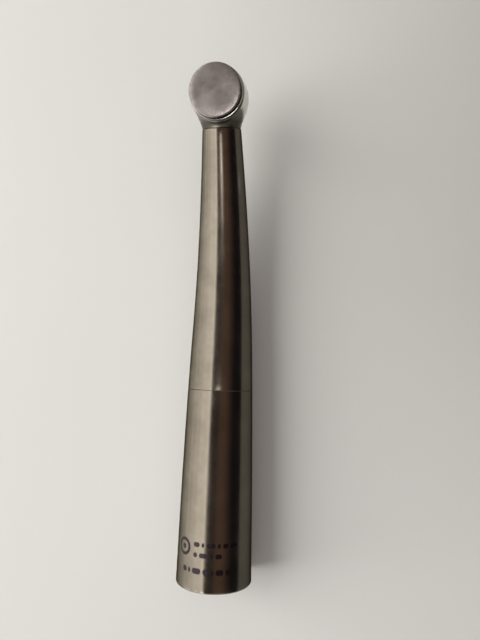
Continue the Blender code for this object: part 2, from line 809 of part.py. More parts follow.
def make_shaft():
    """Hollow spindle, with a ledge inside for the chuck's spring."""
    profile = [
        (SHAFT_RADIUS - 0.1, SHAFT_TOP),
        (SHAFT_RADIUS, SHAFT_TOP - 0.1),
        (SHAFT_RADIUS, HUB_SPAN[1]),
        (SHAFT_HUB, HUB_SPAN[1]),
        (SHAFT_HUB, HUB_SPAN[0]),
        (SHAFT_RADIUS, HUB_SPAN[0]),
        (SHAFT_RADIUS, SHAFT_BOTTOM + 0.12),
        (SHAFT_RADIUS - 0.12, SHAFT_BOTTOM),
        (1.18, SHAFT_BOTTOM),
        (1.18, 1.6),
        (0.62, 1.6),
        (0.62, 1.9),
        (1.12, 1.9),
        (1.12, SHAFT_TOP),
    ]
    turned("rotor_shaft", profile, rotor_axis, "polished_steel", SMALL_STEPS)


def make_impeller():
    """Bladed wheel: each blade has a hollow drive face, and the gullets between them are round."""
    outline = []
    root = 2.55
    pitch = 2 * math.pi / BLADES
    blade = ((root, 0.00), (3.10, 0.10), (3.75, 0.13), (IMPELLER_RADIUS, 0.06))
    back = ((IMPELLER_RADIUS, 0.22), (3.75, 0.34), (3.10, 0.42), (root, 0.62))
    for i in range(BLADES):
        for radius, share in (*blade, *back):
            angle = (i + share) * pitch
            outline.append((radius * math.cos(angle), radius * math.sin(angle)))
    bore = [
        ((SHAFT_HUB + FIT) * math.cos(a), (SHAFT_HUB + FIT) * math.sin(a))
        for a in (2 * math.pi * k / FINE_STEPS for k in range(FINE_STEPS))
    ]
    curve = bpy.data.curves.new("impeller", "CURVE")
    curve.dimensions = "2D"
    curve.fill_mode = "BOTH"
    curve.extrude = (IMPELLER_SPAN[1] - IMPELLER_SPAN[0]) / 2 * MM
    for points in (outline, bore):
        spline = curve.splines.new("POLY")
        spline.points.add(len(points) - 1)
        for point, (x, y) in zip(spline.points, points):
            point.co = (x * MM, y * MM, 0.0, 1.0)
        spline.use_cyclic_u = True
    wheel = add_object("impeller", curve, rotor_axis, "polished_steel")
    wheel.location = (0.0, 0.0, sum(IMPELLER_SPAN) / 2 * MM)


def make_chuck():
    """Slotted collet, the plunger that pushes it open, and the spring that pulls it shut."""
    profile = [
        (COLLET_RADIUS - 0.05, 1.1),
        (COLLET_RADIUS, 1.05),
        (COLLET_RADIUS, NOSE + 0.1),
        (COLLET_RADIUS - 0.1, NOSE),
        (SHANK_RADIUS + 0.1, NOSE),
        (SHANK_RADIUS, NOSE + 0.1),
        (SHANK_RADIUS, 0.5),
        (0.56, 0.6),
        (0.56, 1.1),
    ]
    collet = turned("chuck_collet", profile, chuck_axis, "spring_steel", FINE_STEPS)
    for i in range(3):
        slot = box(f"collet_slot_{i}", (2.0, 0.22, 4.5), (0.0, 0.0, 0.0), chuck_axis)
        turn_about_z(slot, math.radians(30) + i * 2 * math.pi / 3, (1.0, 0.0, NOSE + 1.75))
        combine(collet, slot)
    plunger = [
        (0.0, 3.40),
        (0.80, 3.40),
        (0.95, 3.25),
        (0.95, 3.05),
        (0.50, 3.05),
        (0.50, 0.70),
        (0.0, 0.70),
    ]
    turned("chuck_plunger", plunger, chuck_axis, "spring_steel", FINE_STEPS)
    wire("chuck_spring", coil(0.80, 2.06, 2.90, 3), 0.12, "spring_steel", chuck_axis)


make_shaft()
make_impeller()
make_chuck()


# --- Button and back cap --------------------------------------------------------------------------------------


def make_back_cap():
    """Threaded ring that closes the head and holds the rear bearing, with two pin-spanner holes."""
    profile = [
        (CAP_RADIUS - 0.25, CAP_TOP),
        (CAP_RADIUS - 0.07, CAP_TOP - 0.07),
        (CAP_RADIUS, CAP_TOP - 0.25),
        (CAP_RADIUS, CAP_BOTTOM + 0.20),
        (CAP_RADIUS - 0.15, CAP_BOTTOM),
        (5.10, CAP_BOTTOM),
        (5.10, 3.10),
        (4.65, 3.05),
        (4.65, 1.80),
        (BEARING_POCKET, 1.80),
        (BEARING_POCKET, CAP_WEB[0]),
        (1.15, CAP_WEB[0]),
        (1.15, CAP_WEB[1]),
        (CAP_BORE, CAP_WEB[1]),
        (CAP_BORE, 4.96),
        (4.92, 4.96),
        (4.92, 5.24),
        (CAP_BORE, 5.24),
        (CAP_BORE, CAP_TOP - 0.1),
        (CAP_BORE + 0.1, CAP_TOP),
    ]
    cap = turned("back_cap", profile, head_axis, "polished_steel", HEAD_STEPS)
    for i in range(2):
        hole = rod(f"spanner_hole_{i}", 0.24, -1.0, 1.0, head_axis, steps=12)
        angle = math.radians(-8) + i * math.pi
        turn = Matrix.Rotation(angle, 4, "Z") @ Matrix.Translation((6.4 * MM, 0.0, 5.0 * MM))
        hole.matrix_local = turn @ Matrix.Rotation(math.pi / 2, 4, "Y")
        combine(cap, hole)


def make_button():
    """Dished push button with its guide skirt and stem, its return spring, and the ring that keeps it in."""
    profile = [
        (0.0, BUTTON_TOP - 0.16),
        (1.8, BUTTON_TOP - 0.145),
        (3.4, BUTTON_TOP - 0.09),
        (4.7, BUTTON_TOP - 0.015),
        (5.20, BUTTON_TOP),
        (5.38, BUTTON_TOP - 0.08),
        (BUTTON_RADIUS, BUTTON_TOP - 0.22),
        (BUTTON_RADIUS, BUTTON_UNDERSIDE + 0.15),
        (BUTTON_RADIUS - 0.12, BUTTON_UNDERSIDE),
        (BUTTON_SKIRT, BUTTON_UNDERSIDE),
        (BUTTON_SKIRT, 4.93),
        (BUTTON_LIP, 4.93),
        (BUTTON_LIP, 4.73),
        (3.90, 4.73),
        (3.90, 6.12),
        (0.75, 6.12),
        (0.75, 3.75),
        (0.65, 3.65),
        (0.0, 3.65),
    ]
    turned("push_button", profile, button_axis, "button_metal", HEAD_STEPS)
    wire("button_spring", coil(3.1, 4.26, 5.85, 3, 16), 0.24, "spring_steel", button_axis)
    keeper = ring("button_retainer", 4.38, 4.88, 5.00, 5.20, head_axis, "spring_steel", SLEEVE_STEPS)
    gap = box("retainer_gap", (0.8, 1.4, 1.0), (0.0, 4.6, 5.1), head_axis)
    combine(keeper, gap)


make_back_cap()
make_button()
bpy.context.view_layer.update()
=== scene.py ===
"""High speed dental handpiece: the looks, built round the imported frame.

Lengths are in millimetres in the CAD's own frame, unless a comment says metres. The origin is the centre
of the rear face, +Y runs up the handle to the head and +Z is the side of the push button.
"""

import json
import math

import bmesh
import bpy
import numpy as np
from mathutils import Matrix, Vector


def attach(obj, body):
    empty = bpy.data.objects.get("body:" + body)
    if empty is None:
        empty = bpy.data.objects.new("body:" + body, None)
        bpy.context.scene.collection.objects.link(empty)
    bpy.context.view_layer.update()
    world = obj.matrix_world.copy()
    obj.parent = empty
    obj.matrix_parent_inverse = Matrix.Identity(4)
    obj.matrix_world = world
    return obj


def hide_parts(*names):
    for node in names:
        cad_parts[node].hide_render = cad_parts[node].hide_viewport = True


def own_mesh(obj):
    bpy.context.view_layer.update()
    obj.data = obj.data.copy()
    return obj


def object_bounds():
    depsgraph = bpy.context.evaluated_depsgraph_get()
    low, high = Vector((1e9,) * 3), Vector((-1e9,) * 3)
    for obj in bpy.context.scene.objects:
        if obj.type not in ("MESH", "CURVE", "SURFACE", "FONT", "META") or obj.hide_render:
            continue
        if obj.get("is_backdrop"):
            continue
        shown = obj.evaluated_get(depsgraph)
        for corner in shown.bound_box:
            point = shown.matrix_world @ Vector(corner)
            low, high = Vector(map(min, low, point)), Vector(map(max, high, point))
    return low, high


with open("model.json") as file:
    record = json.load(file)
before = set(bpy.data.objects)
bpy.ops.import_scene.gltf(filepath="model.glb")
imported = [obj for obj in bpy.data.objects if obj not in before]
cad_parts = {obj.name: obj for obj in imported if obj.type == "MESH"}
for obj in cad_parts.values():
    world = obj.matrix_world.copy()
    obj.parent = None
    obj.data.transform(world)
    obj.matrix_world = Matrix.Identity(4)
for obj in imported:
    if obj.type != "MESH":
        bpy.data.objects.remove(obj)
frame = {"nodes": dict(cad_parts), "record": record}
CAD_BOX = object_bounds()
MM = 0.001  # the scene is in metres

# The centreline and the outside, as in the CAD
REAR_TO_ROTOR = 106.25
HANDLE_STRAIGHT = 53.0
KNEE_RADIUS = 120.0
KNEE_ANGLE = math.radians(19.0)
HEAD_LEAN = math.radians(12.0)
OUTER_RADIUS = ((0.0, 8.30), (25.4, 7.76), (50.8, 6.95), (76.2, 5.66), (101.6, 4.17))
SEAM = 41.7
SEAM_GAP = 0.06
COLLAR_LENGTH = 6.4
REAR_WALL = 0.75
NECK_WALL = 0.60

# The head, in heights on the rotor axis and radii from it
NOSE = -6.2
NOZZLE_SEAT = -5.5
HOUSING_TOP = 4.55
CAP_TOP = 5.40
CAP_RADIUS = 5.75
CAP_BORE = 4.70
BUTTON_TOP = 6.95
BUTTON_UNDERSIDE = 6.20
BUTTON_RADIUS = 5.49
SHAFT_RADIUS = 1.55
COLLET_RADIUS = 1.10
SHANK_RADIUS = 0.80

# Steps round a turned piece
LATHE_STEPS = 144
INSERT_STEPS = 120
BORE_STEPS = 96
SMALL_STEPS = 72
CAP_RIDGES = 72
CAP_STEPS = 4 * CAP_RIDGES

SCENE = bpy.context.scene
SCENE.view_settings.view_transform = "Standard"


# --- Centreline ----------------------------------------------------------------------------------------


def centreline(distance):
    """Point (y, z) and slope of the centreline, at a distance from the rear face."""
    if distance <= HANDLE_STRAIGHT:
        return distance, 0.0, 0.0
    bent = min((distance - HANDLE_STRAIGHT) / KNEE_RADIUS, KNEE_ANGLE)
    beyond = max(distance - HANDLE_STRAIGHT - KNEE_RADIUS * KNEE_ANGLE, 0.0)
    y = HANDLE_STRAIGHT + KNEE_RADIUS * math.sin(bent) + beyond * math.cos(bent)
    z = KNEE_RADIUS * (1 - math.cos(bent)) + beyond * math.sin(bent)
    return y, z, bent


def outer_radius(distance):
    """Radius of the outside at a distance from the rear face: a Catmull-Rom curve through the stations."""
    last = len(OUTER_RADIUS) - 2
    step = OUTER_RADIUS[1][0]
    i = max(0, min(last, int(distance / step)))
    t = distance / step - i
    r0, r1, r2, r3 = (OUTER_RADIUS[max(0, min(last + 1, k))][1] for k in (i - 1, i, i + 1, i + 2))
    if i == 0:
        r0 = 2 * r1 - r2
    if i == last:
        r3 = 2 * r2 - r1
    square = 2 * r0 - 5 * r1 + 4 * r2 - r3
    cube = 3 * r1 - r0 - 3 * r2 + r3
    return 0.5 * (2 * r1 + (r2 - r0) * t + square * t**2 + cube * t**3)


def shift(x=0.0, y=0.0, z=0.0):
    """A move in millimetres, as a matrix for the scene."""
    return Matrix.Translation(Vector((x, y, z)) * MM)


def turn(angle, axis="Z"):
    """A turn about an axis, as a matrix."""
    return Matrix.Rotation(angle, 4, axis)


# Frames whose Z is the axis of the handle, of the neck (back from the head), of the rotor and of the lens
LENS_LEAN = math.radians(12.0)
HANDLE = turn(-math.pi / 2, "X")
HEAD_MIDDLE = shift(0.0, *centreline(REAR_TO_ROTOR)[:2])
NECK = HEAD_MIDDLE @ turn(math.pi / 2 + KNEE_ANGLE, "X")
HEAD = HEAD_MIDDLE @ turn(HEAD_LEAN, "X")
LENS = HEAD @ shift(0.0, -4.95, -5.00) @ turn(math.pi + LENS_LEAN, "X")


# --- Materials -----------------------------------------------------------------------------------------


class Nodes:
    """A short way of wiring a node tree. An input is a socket to link from, or a value to set."""

    def __init__(self, tree):
        self.tree = tree
        tree.nodes.clear()

    def add(self, kind, inputs=(), **settings):
        """Adds a shader node, sets its settings and fills its inputs."""
        node = self.tree.nodes.new("ShaderNode" + kind)
        for key, value in settings.items():
            setattr(node, key, value)
        for key, value in dict(inputs).items():
            if isinstance(value, bpy.types.NodeSocket):
                self.tree.links.new(value, node.inputs[key])
            else:
                node.inputs[key].default_value = value
        return node

    def math(self, operation, a, b=0.0):
        """One sum on two numbers."""
        return self.add("Math", {0: a, 1: b}, operation=operation).outputs[0]

    def product(self, *masks):
        """The product of masks."""
        found = masks[0]
        for mask in masks[1:]:
            found = self.math("MULTIPLY", found, mask)
        return found

    def spread(self, value, low, high, to_low=0.0, to_high=1.0):
        """Maps a range of a value to another, clamped."""
        ranges = {"From Min": low, "From Max": high, "To Min": to_low, "To Max": to_high}
        return self.add("MapRange", {"Value": value, **ranges}).outputs["Result"]

    def mix(self, share, a, b):
        """Mixes colour b into colour a by a share."""
        return self.add("Mix", {0: share, 6: a, 7: b}, data_type="RGBA").outputs[2]

    def noise(self, vector, scale, detail, roughness):
        """Noise whose scale is in features per millimetre."""
        settings = {"Vector": vector, "Scale": scale / MM, "Detail": detail, "Roughness": roughness}
        return self.add("TexNoise", settings).outputs["Fac"]

    def from_axis(self, split):
        """Distance from the Z axis, from a place's three separate coordinates."""
        squares = [self.math("POWER", split[k], 2.0) for k in (0, 1)]
        return self.math("POWER", self.math("ADD", *squares), 0.5)


def new_material(name):
    """A material with an empty node tree, and a way to fill it."""
    material = bpy.data.materials.new(name)
    material.use_nodes = True
    return material, Nodes(material.node_tree)


def finish_material(nodes, shader, bump_height, distance, strength):
    """Gives the shader its bump, of a depth in millimetres, and wires it to the output."""
    bump = nodes.add("Bump", {"Height": bump_height, "Distance": distance * MM, "Strength": strength})
    nodes.tree.links.new(bump.outputs[0], shader.inputs["Normal"])
    nodes.add("OutputMaterial", {"Surface": shader.outputs[0]})


def shades(colour, darker, lighter):
    """A darker and a lighter shade of a colour."""
    return [[min(1.0, c * share) for c in colour[:3]] + [1.0] for share in (darker, lighter)]


WORN_SATIN = (0.80, 0.76, 0.70, 1.0)
WORN_TURNED = (0.85, 0.83, 0.80, 1.0)
DUST = (0.03, 0.028, 0.025, 1.0)
RIM_SCUFF = (0.90, 0.86, 0.78, 1.0)
# Colour of the painted shade on the head's flare towards its collar
PAINTED_FLARE_SHADE = (0.07, 0.065, 0.05, 1.0)
# Colour of the painted shade in the gap between the housing and the cap
PAINTED_GAP_SHADE = (0.02, 0.018, 0.015, 1.0)
WORN_FROM, WORN_TO = 0.51, 0.60  # pointiness where an edge starts to wear, and where it is bare


def rim_scuffs(n, at, split):
    """Mask of the bright scuffs on the last 0.7 mm of the rear sleeve."""
    patches = n.spread(n.noise(at, 0.7, 3.0, 0.7), 0.44, 0.52)
    return n.product(n.spread(split[1], 0.7 * MM, 0.2 * MM), patches)


def painted_collar_shade(n, split):
    """Mask of the painted shade on the flare of the head towards its collar, below the cap."""
    return n.product(n.spread(split[1], -4.2 * MM, -5.4 * MM), n.spread(split[2], 4.4 * MM, 4.1 * MM))


def cap_gap_shade(n, split):
    """Mask of the painted shade in the gap between the housing and the cap."""
    radius = n.from_axis(split)
    inner, outer = n.spread(radius, 5.91 * MM, 5.93 * MM), n.spread(radius, 6.06 * MM, 6.04 * MM)
    return n.product(inner, outer, n.spread(split[2], 4.1 * MM, 4.2 * MM))


def satin_metal(name, colour, roughness, specks=1.0, wear=1.0, edge_tone=1.0, rim=False, collar=False):
    """Bead-blasted metal: a tiny grain, faint handling smears, a few dust specks, and edges worn bright."""
    material, n = new_material(name)
    at = n.add("TexCoord").outputs["Object"]
    split = n.add("SeparateXYZ", {"Vector": at}).outputs
    blast = n.noise(at, 5.0, 2.0, 0.6)
    smear = n.noise(at, 0.16, 4.0, 0.6)
    patch = n.noise(at, 0.55, 3.0, 0.5)
    pointy = n.add("NewGeometry").outputs["Pointiness"]
    edge = n.math("MULTIPLY", n.spread(pointy, WORN_FROM, WORN_TO), wear)
    cells = n.add("TexVoronoi", {"Vector": at, "Scale": 0.35 / MM}, feature="F1").outputs["Distance"]
    spot = n.math("MULTIPLY", n.spread(cells, 0.030, 0.018), specks)

    base = n.mix(n.spread(smear, 0.35, 0.65), *shades(colour, 0.90, 1.10))
    base = n.mix(n.math("MULTIPLY", edge, 0.5), base, WORN_SATIN)
    base = n.mix(n.math("MULTIPLY", spot, 0.75), base, DUST)
    rough = n.spread(smear, 0.3, 0.7, roughness - 0.025, roughness + 0.025)
    rough = n.math("ADD", rough, n.spread(patch, 0.45, 0.7, 0.0, 0.03))
    rough = n.math("SUBTRACT", rough, n.math("MULTIPLY", edge, 0.10))
    if rim:
        scuffs = rim_scuffs(n, at, split)
        base = n.mix(n.math("MULTIPLY", scuffs, 0.6), base, RIM_SCUFF)
        rough = n.math("SUBTRACT", rough, n.math("MULTIPLY", scuffs, 0.06))
    if collar:
        flare = painted_collar_shade(n, split)
        # Painted shade: the flare towards the collar is darkened
        base = n.mix(n.math("MULTIPLY", flare, 0.62), base, PAINTED_FLARE_SHADE)
        rough = n.math("ADD", rough, n.math("MULTIPLY", flare, 0.08))
        # Painted shade: the gap between the housing and the cap is darkened
        base = n.mix(n.math("MULTIPLY", cap_gap_shade(n, split), 0.93), base, PAINTED_GAP_SHADE)
    rough = n.math("ADD", rough, n.math("MULTIPLY", spot, 0.3))
    height = n.math("ADD", blast, n.math("MULTIPLY", spot, 0.8))
    settings = {"Base Color": base, "Roughness": rough, "Metallic": 1.0}
    settings["Specular Tint"] = (edge_tone, edge_tone, edge_tone, 1.0)
    finish_material(n, n.add("BsdfPrincipled", settings), height, 0.004, 0.30)
    return material


def turned_metal(name, colour, roughness, lines, depth=0.002, anisotropy=0.0, rays=0.0):
    """Turned metal: fine rings round the piece's own Z, faint scratches and, if asked, dark rays of painted
    radial sheen.
    """
    material, n = new_material(name)
    at = n.add("TexCoord").outputs["Object"]
    split = n.add("SeparateXYZ", {"Vector": at}).outputs
    radius = n.from_axis(split)
    rings = n.add("CombineXYZ", {"X": radius, "Y": split[2]}).outputs[0]
    turned_lines = n.noise(rings, lines, 2.0, 0.7)
    smear = n.noise(at, 0.30, 3.0, 0.6)
    stretch = {"Vector": at, "Rotation": (0.3, 0.2, 0.7), "Scale": (1.0, 12.0, 1.0)}
    scratch = n.spread(n.noise(n.add("Mapping", stretch).outputs[0], 0.8, 2.0, 0.8), 0.68, 0.74)
    pointy = n.spread(n.add("NewGeometry").outputs["Pointiness"], WORN_FROM, WORN_TO)

    base = n.mix(n.spread(smear, 0.35, 0.65), *shades(colour, 0.92, 1.07))
    base = n.mix(n.math("MULTIPLY", pointy, 0.35), base, WORN_TURNED)
    rough = n.spread(smear, 0.3, 0.7, roughness - 0.03, roughness + 0.03)
    rough = n.math("ADD", rough, n.math("MULTIPLY", scratch, 0.08))
    if rays:
        # Painted sheen: dark radial streaks near the rim stand in for the radial highlights of a turned face
        flat = n.add("CombineXYZ", {"X": split[0], "Y": split[1]}).outputs[0]
        outward = n.add("VectorMath", {0: flat}, operation="NORMALIZE").outputs[0]
        sheen_streak = n.spread(n.noise(outward, 0.007, 2.0, 0.75), 0.40, 0.62)
        sheen_streak = n.math("MULTIPLY", n.product(sheen_streak, n.spread(radius, 3.6 * MM, 5.0 * MM)), rays)
        base = n.mix(sheen_streak, base, [c * 0.5 for c in colour[:3]] + [1.0])
        rough = n.math("ADD", rough, n.math("MULTIPLY", sheen_streak, 0.10))
    settings = {"Base Color": base, "Roughness": rough, "Metallic": 1.0}
    if anisotropy:
        settings["Anisotropic"] = anisotropy
        settings["Tangent"] = n.add("Tangent", direction_type="RADIAL", axis="Z").outputs[0]
    height = n.math("SUBTRACT", turned_lines, n.math("MULTIPLY", scratch, 0.5))
    finish_material(n, n.add("BsdfPrincipled", settings), height, depth, 0.6)
    return material


def plain_material(name, colour, roughness, grain, depth, metallic=0.0, variation=0.15, **more):
    """Rubber, plastic, ceramic, glass or a laser mark: a fine grain and a faint change of tone."""
    material, n = new_material(name)
    at = n.add("TexCoord").outputs["Object"]
    tone = n.noise(at, 0.8, 3.0, 0.6)
    fine = n.noise(at, grain, 3.0, 0.6)
    base = n.mix(n.spread(tone, 0.3, 0.7), *shades(colour, 1 - variation, 1 + variation))
    rough = n.spread(fine, 0.3, 0.7, roughness - 0.05, roughness + 0.05)
    shader = n.add("BsdfPrincipled", {"Base Color": base, "Roughness": rough, "Metallic": metallic, **more})
    finish_material(n, shader, fine, depth, 0.5)
    return material


SATIN = satin_metal("satin_metal", (0.50, 0.445, 0.365, 1.0), 0.20, edge_tone=0.15, rim=True)
HEAD_SATIN = satin_metal("head_metal", (0.46, 0.42, 0.36, 1.0), 0.22, specks=0.0, wear=0.0, collar=True)
BUTTON = turned_metal("button_metal", (0.52, 0.475, 0.45, 1.0), 0.24, 7.0, 0.001, anisotropy=0.4, rays=0.30)
# Dark metal that stands in for the shade in the slot under the button
PAINTED_SLOT_SHADE = turned_metal("painted_slot_shade", (0.035, 0.032, 0.032, 1.0), 0.35, 6.0)
# Dark metal that stands in for the shade in the groove between the cap and the housing
PAINTED_GROOVE_SHADE = turned_metal("painted_groove_shade", (0.030, 0.027, 0.025, 1.0), 0.40, 6.0)
POLISHED = turned_metal("polished_steel", (0.68, 0.66, 0.63, 1.0), 0.10, 5.0, 0.001)
SPRING_STEEL = turned_metal("spring_steel", (0.55, 0.55, 0.56, 1.0), 0.22, 5.0)
BRASS = turned_metal("brass", (0.72, 0.55, 0.26, 1.0), 0.26, 4.0, 0.003)
CERAMIC = plain_material("ceramic", (0.055, 0.056, 0.060, 1.0), 0.10, 3.0, 0.0005)
CAGE_PLASTIC = plain_material("cage_plastic", (0.25, 0.11, 0.04, 1.0), 0.48, 8.0, 0.01, variation=0.3)
RUBBER = plain_material("rubber", (0.022, 0.022, 0.024, 1.0), 0.62, 6.0, 0.01)
CLEAR = {"Transmission Weight": 0.85, "IOR": 1.50}
GLASS = plain_material("glass", (0.90, 0.94, 0.95, 1.0), 0.07, 4.0, 0.0005, variation=0.02, **CLEAR)
MARK = plain_material("laser_mark", (0.11, 0.09, 0.10, 1.0), 0.40, 10.0, 0.002, metallic=1.0, variation=0.2)

SLOT_MATERIALS = {
    "satin_metal": SATIN,
    "head_metal": HEAD_SATIN,
    "button_metal": BUTTON,
    "polished_steel": POLISHED,
    "spring_steel": SPRING_STEEL,
    "brass": BRASS,
    "ceramic": CERAMIC,
    "cage_plastic": CAGE_PLASTIC,
    "rubber": RUBBER,
    "glass": GLASS,
}


# --- Mesh building -------------------------------------------------------------------------------------


TINY = 1e-6
NEARLY_STRAIGHT = math.radians(172)
SMOOTH_BELOW = math.radians(32)


def rounded(profile, radius, steps):
    """The closed profile, its corners rounded. A third number on a point is that corner's own radius."""
    found = []
    count = len(profile)
    for i, corner in enumerate(profile):
        here = Vector(corner[:2])
        before, after = (Vector(profile[(i + k) % count][:2]) for k in (-1, 1))
        own = corner[2] if len(corner) > 2 else radius
        in_way, out_way = before - here, after - here
        on_axis = here.x < TINY
        if own <= 0 or on_axis or in_way.length < TINY or out_way.length < TINY:
            found.append(here)
            continue
        bend = in_way.angle(out_way)
        if bend > NEARLY_STRAIGHT:
            found.append(here)
            continue
        reach = min(own / math.tan(bend / 2), 0.45 * in_way.length, 0.45 * out_way.length)
        start, end = here + in_way.normalized() * reach, here + out_way.normalized() * reach
        for k in range(steps + 1):
            t = k / steps
            found.append(start * (1 - t) ** 2 + here * 2 * t * (1 - t) + end * t**2)
    return [(p.x, p.y) for p in found]


def mesh_of(name, shape):
    """A mesh from a bmesh, which it frees."""
    mesh = bpy.data.meshes.new(name)
    shape.to_mesh(mesh)
    shape.free()
    return mesh


def revolve_mesh(name, profile, steps, place):
    """A closed mesh from a profile. place(radius, height, angle) gives each point in millimetres."""
    points = []
    faces = []
    rows = []
    for radius, height in profile:
        if radius < TINY:
            rows.append([len(points)] * steps)
            points.append(place(0.0, height, 0.0))
            continue
        rows.append(list(range(len(points), len(points) + steps)))
        points += [place(radius, height, 2 * math.pi * k / steps) for k in range(steps)]
    for i, row in enumerate(rows):
        following = rows[(i + 1) % len(rows)]
        for k in range(steps):
            corners = [row[k], row[(k + 1) % steps], following[(k + 1) % steps], following[k]]
            corners = list(dict.fromkeys(corners))
            if len(corners) > 2:
                faces.append(corners)
    mesh = bpy.data.meshes.new(name)
    mesh.from_pydata([Vector(p) * MM for p in points], [], faces)
    shape = bmesh.new()
    shape.from_mesh(mesh)
    bmesh.ops.recalc_face_normals(shape, faces=shape.faces)
    shape.to_mesh(mesh)
    shape.free()
    return mesh


def add_piece(name, mesh, matrix=None, material=None, sharp=True):
    """Puts a mesh in the scene, smooth but for its sharp edges."""
    obj = bpy.data.objects.new(name, mesh)
    SCENE.collection.objects.link(obj)
    if matrix is not None:
        obj.matrix_world = matrix
    if material is not None:
        mesh.materials.clear()
        mesh.materials.append(material)
    mesh.shade_smooth()
    if sharp:
        mesh.set_sharp_from_angle(angle=SMOOTH_BELOW)
    return obj


def lathe(name, profile, matrix, material=None, steps=LATHE_STEPS, corner=0.04):
    """A turned piece round the Z of its matrix, from (radius, height) points."""

    def place(radius, height, angle):
        return radius * math.cos(angle), radius * math.sin(angle), height

    mesh = revolve_mesh(name, rounded(profile, corner, 3), steps, place)
    return add_piece(name, mesh, matrix, material)


def along_handle(name, profile, material):
    """A sleeve whose profile's heights are distances along the bent centreline."""

    def place(radius, distance, angle):
        y, z, slope = centreline(distance)
        up = radius * math.sin(angle)
        return (radius * math.cos(angle), y - up * math.sin(slope), z + up * math.cos(slope))

    mesh = revolve_mesh(name, rounded(profile, 0.05, 4), LATHE_STEPS, place)
    return add_piece(name, mesh, None, material)


def cylinder(name, radius, low, high, matrix, steps=32):
    """A plain rod, used to cut."""
    return lathe(name, [(0, high), (radius, high, 0), (radius, low, 0), (0, low)], matrix, None, steps, 0)


def block(name, size, matrix):
    """A plain box, used to cut."""
    shape = bmesh.new()
    bmesh.ops.create_cube(shape, size=1.0, matrix=Matrix.Diagonal((*(Vector(size) * MM), 1.0)))
    obj = bpy.data.objects.new(name, mesh_of(name, shape))
    SCENE.collection.objects.link(obj)
    obj.matrix_world = matrix
    return obj


def apply_booleans(obj, tools, added=()):
    """Cuts each tool from the piece in turn, or adds it if its name is in added. The tools are used up."""
    bpy.context.view_layer.update()
    for tool in tools:
        modifier = obj.modifiers.new(tool.name, "BOOLEAN")
        modifier.operation = "UNION" if tool.name in added else "DIFFERENCE"
        modifier.solver = "EXACT"
        modifier.object = tool
    bpy.context.view_layer.update()
    made = bpy.data.meshes.new_from_object(obj.evaluated_get(bpy.context.evaluated_depsgraph_get()))
    obj.modifiers.clear()
    material = obj.data.materials[0]
    obj.data = made
    made.materials.clear()
    made.materials.append(material)
    for tool in tools:
        bpy.data.objects.remove(tool)
    made.shade_smooth()
    made.set_sharp_from_angle(angle=SMOOTH_BELOW)


def done(obj, body, slot, *nodes):
    """Rides a piece on a body and hides the CAD nodes that it stands for. Its slot is not used."""
    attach(obj, body)
    if nodes:
        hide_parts(*nodes)


# --- Sleeves -------------------------------------------------------------------------------------------


def make_rear_sleeve():
    """Rear sleeve: rolled rear rim, long taper, broken edge at the seam, counterbored inside."""
    front = SEAM - SEAM_GAP
    profile = [(outer_radius(front) - REAR_WALL, front, 0.05), (outer_radius(front), front, 0.09)]
    profile += [(outer_radius(s), s, 0) for s in (*range(40, 4, -4), 5, 3, 1.6)]
    profile += [
        (outer_radius(0.0), 0.0, 0.72), (7.45, 0.0, 0.12), (7.45, 2.0, 0.03), (7.10, 2.0, 0.05),
        (7.10, 8.0, 0), (7.25, 8.4, 0),
    ]
    profile += [(outer_radius(s) - REAR_WALL, s, 0) for s in (17.0, 25.4, 34.0)]
    sleeve = along_handle("rear_sleeve_shell", profile, SATIN)
    done(sleeve, "handpiece", "satin_metal", "rear_sleeve")


def make_neck_sleeve():
    """Neck sleeve: one seamless bent taper with broken edges at both ends."""
    front = REAR_TO_ROTOR - COLLAR_LENGTH
    inner_stations = [front + (SEAM - front) * i / 40 for i in range(1, 40)]
    profile = [(outer_radius(front), front, 0.07)]
    profile += [(outer_radius(s), s, 0) for s in inner_stations]
    profile += [(outer_radius(SEAM), SEAM, 0.09), (outer_radius(SEAM) - NECK_WALL, SEAM, 0.05)]
    profile += [(outer_radius(s) - NECK_WALL, s, 0) for s in reversed(inner_stations)]
    profile += [(outer_radius(front) - NECK_WALL, front, 0.05)]
    sleeve = along_handle("neck_sleeve_shell", profile, SATIN)
    done(sleeve, "handpiece", "satin_metal", "neck_sleeve")


make_rear_sleeve()
make_neck_sleeve()


# --- Head casting --------------------------------------------------------------------------------------

# Outlines of the head and of its collar, as (place on the axis, radius)
HEAD_PROFILE = (
    (-7.2, 3.05), (-6.2, 3.90), (-5.8, 4.20), (-5.2, 4.62), (-4.2, 5.18), (-2.8, 5.68),
    (-1.2, 5.93), (1.0, 6.00), (3.0, 5.96), (4.3, 5.90), (5.4, 5.84),
)
COLLAR_PROFILE = (
    (1.5, 5.00), (4.0, 4.90), (4.6, 4.70), (5.2, 4.48), (5.8, 4.33), (6.34, 4.20), (8.4, 4.10),
)
HEAD_ENDS = (-7.0, 5.3)
COLLAR_END = 8.2
BLEND_RADIUS = 1.6
# Rays start at the middle of the casting and are halved until they end on its surface
CASTING_MIDDLE = (0.0, 0.0, -0.6)
CASTING_REACH = 14.0
HALVINGS = 34
# A corner of the cut casting belongs to the outside if it lies this near to it, and if its face turns from it
# by no more than this or is only a sliver, in square millimetres
SKIN_DEPTH = 0.02
SAME_FACE = math.cos(math.radians(14))
SLIVER_AREA = 3e-4


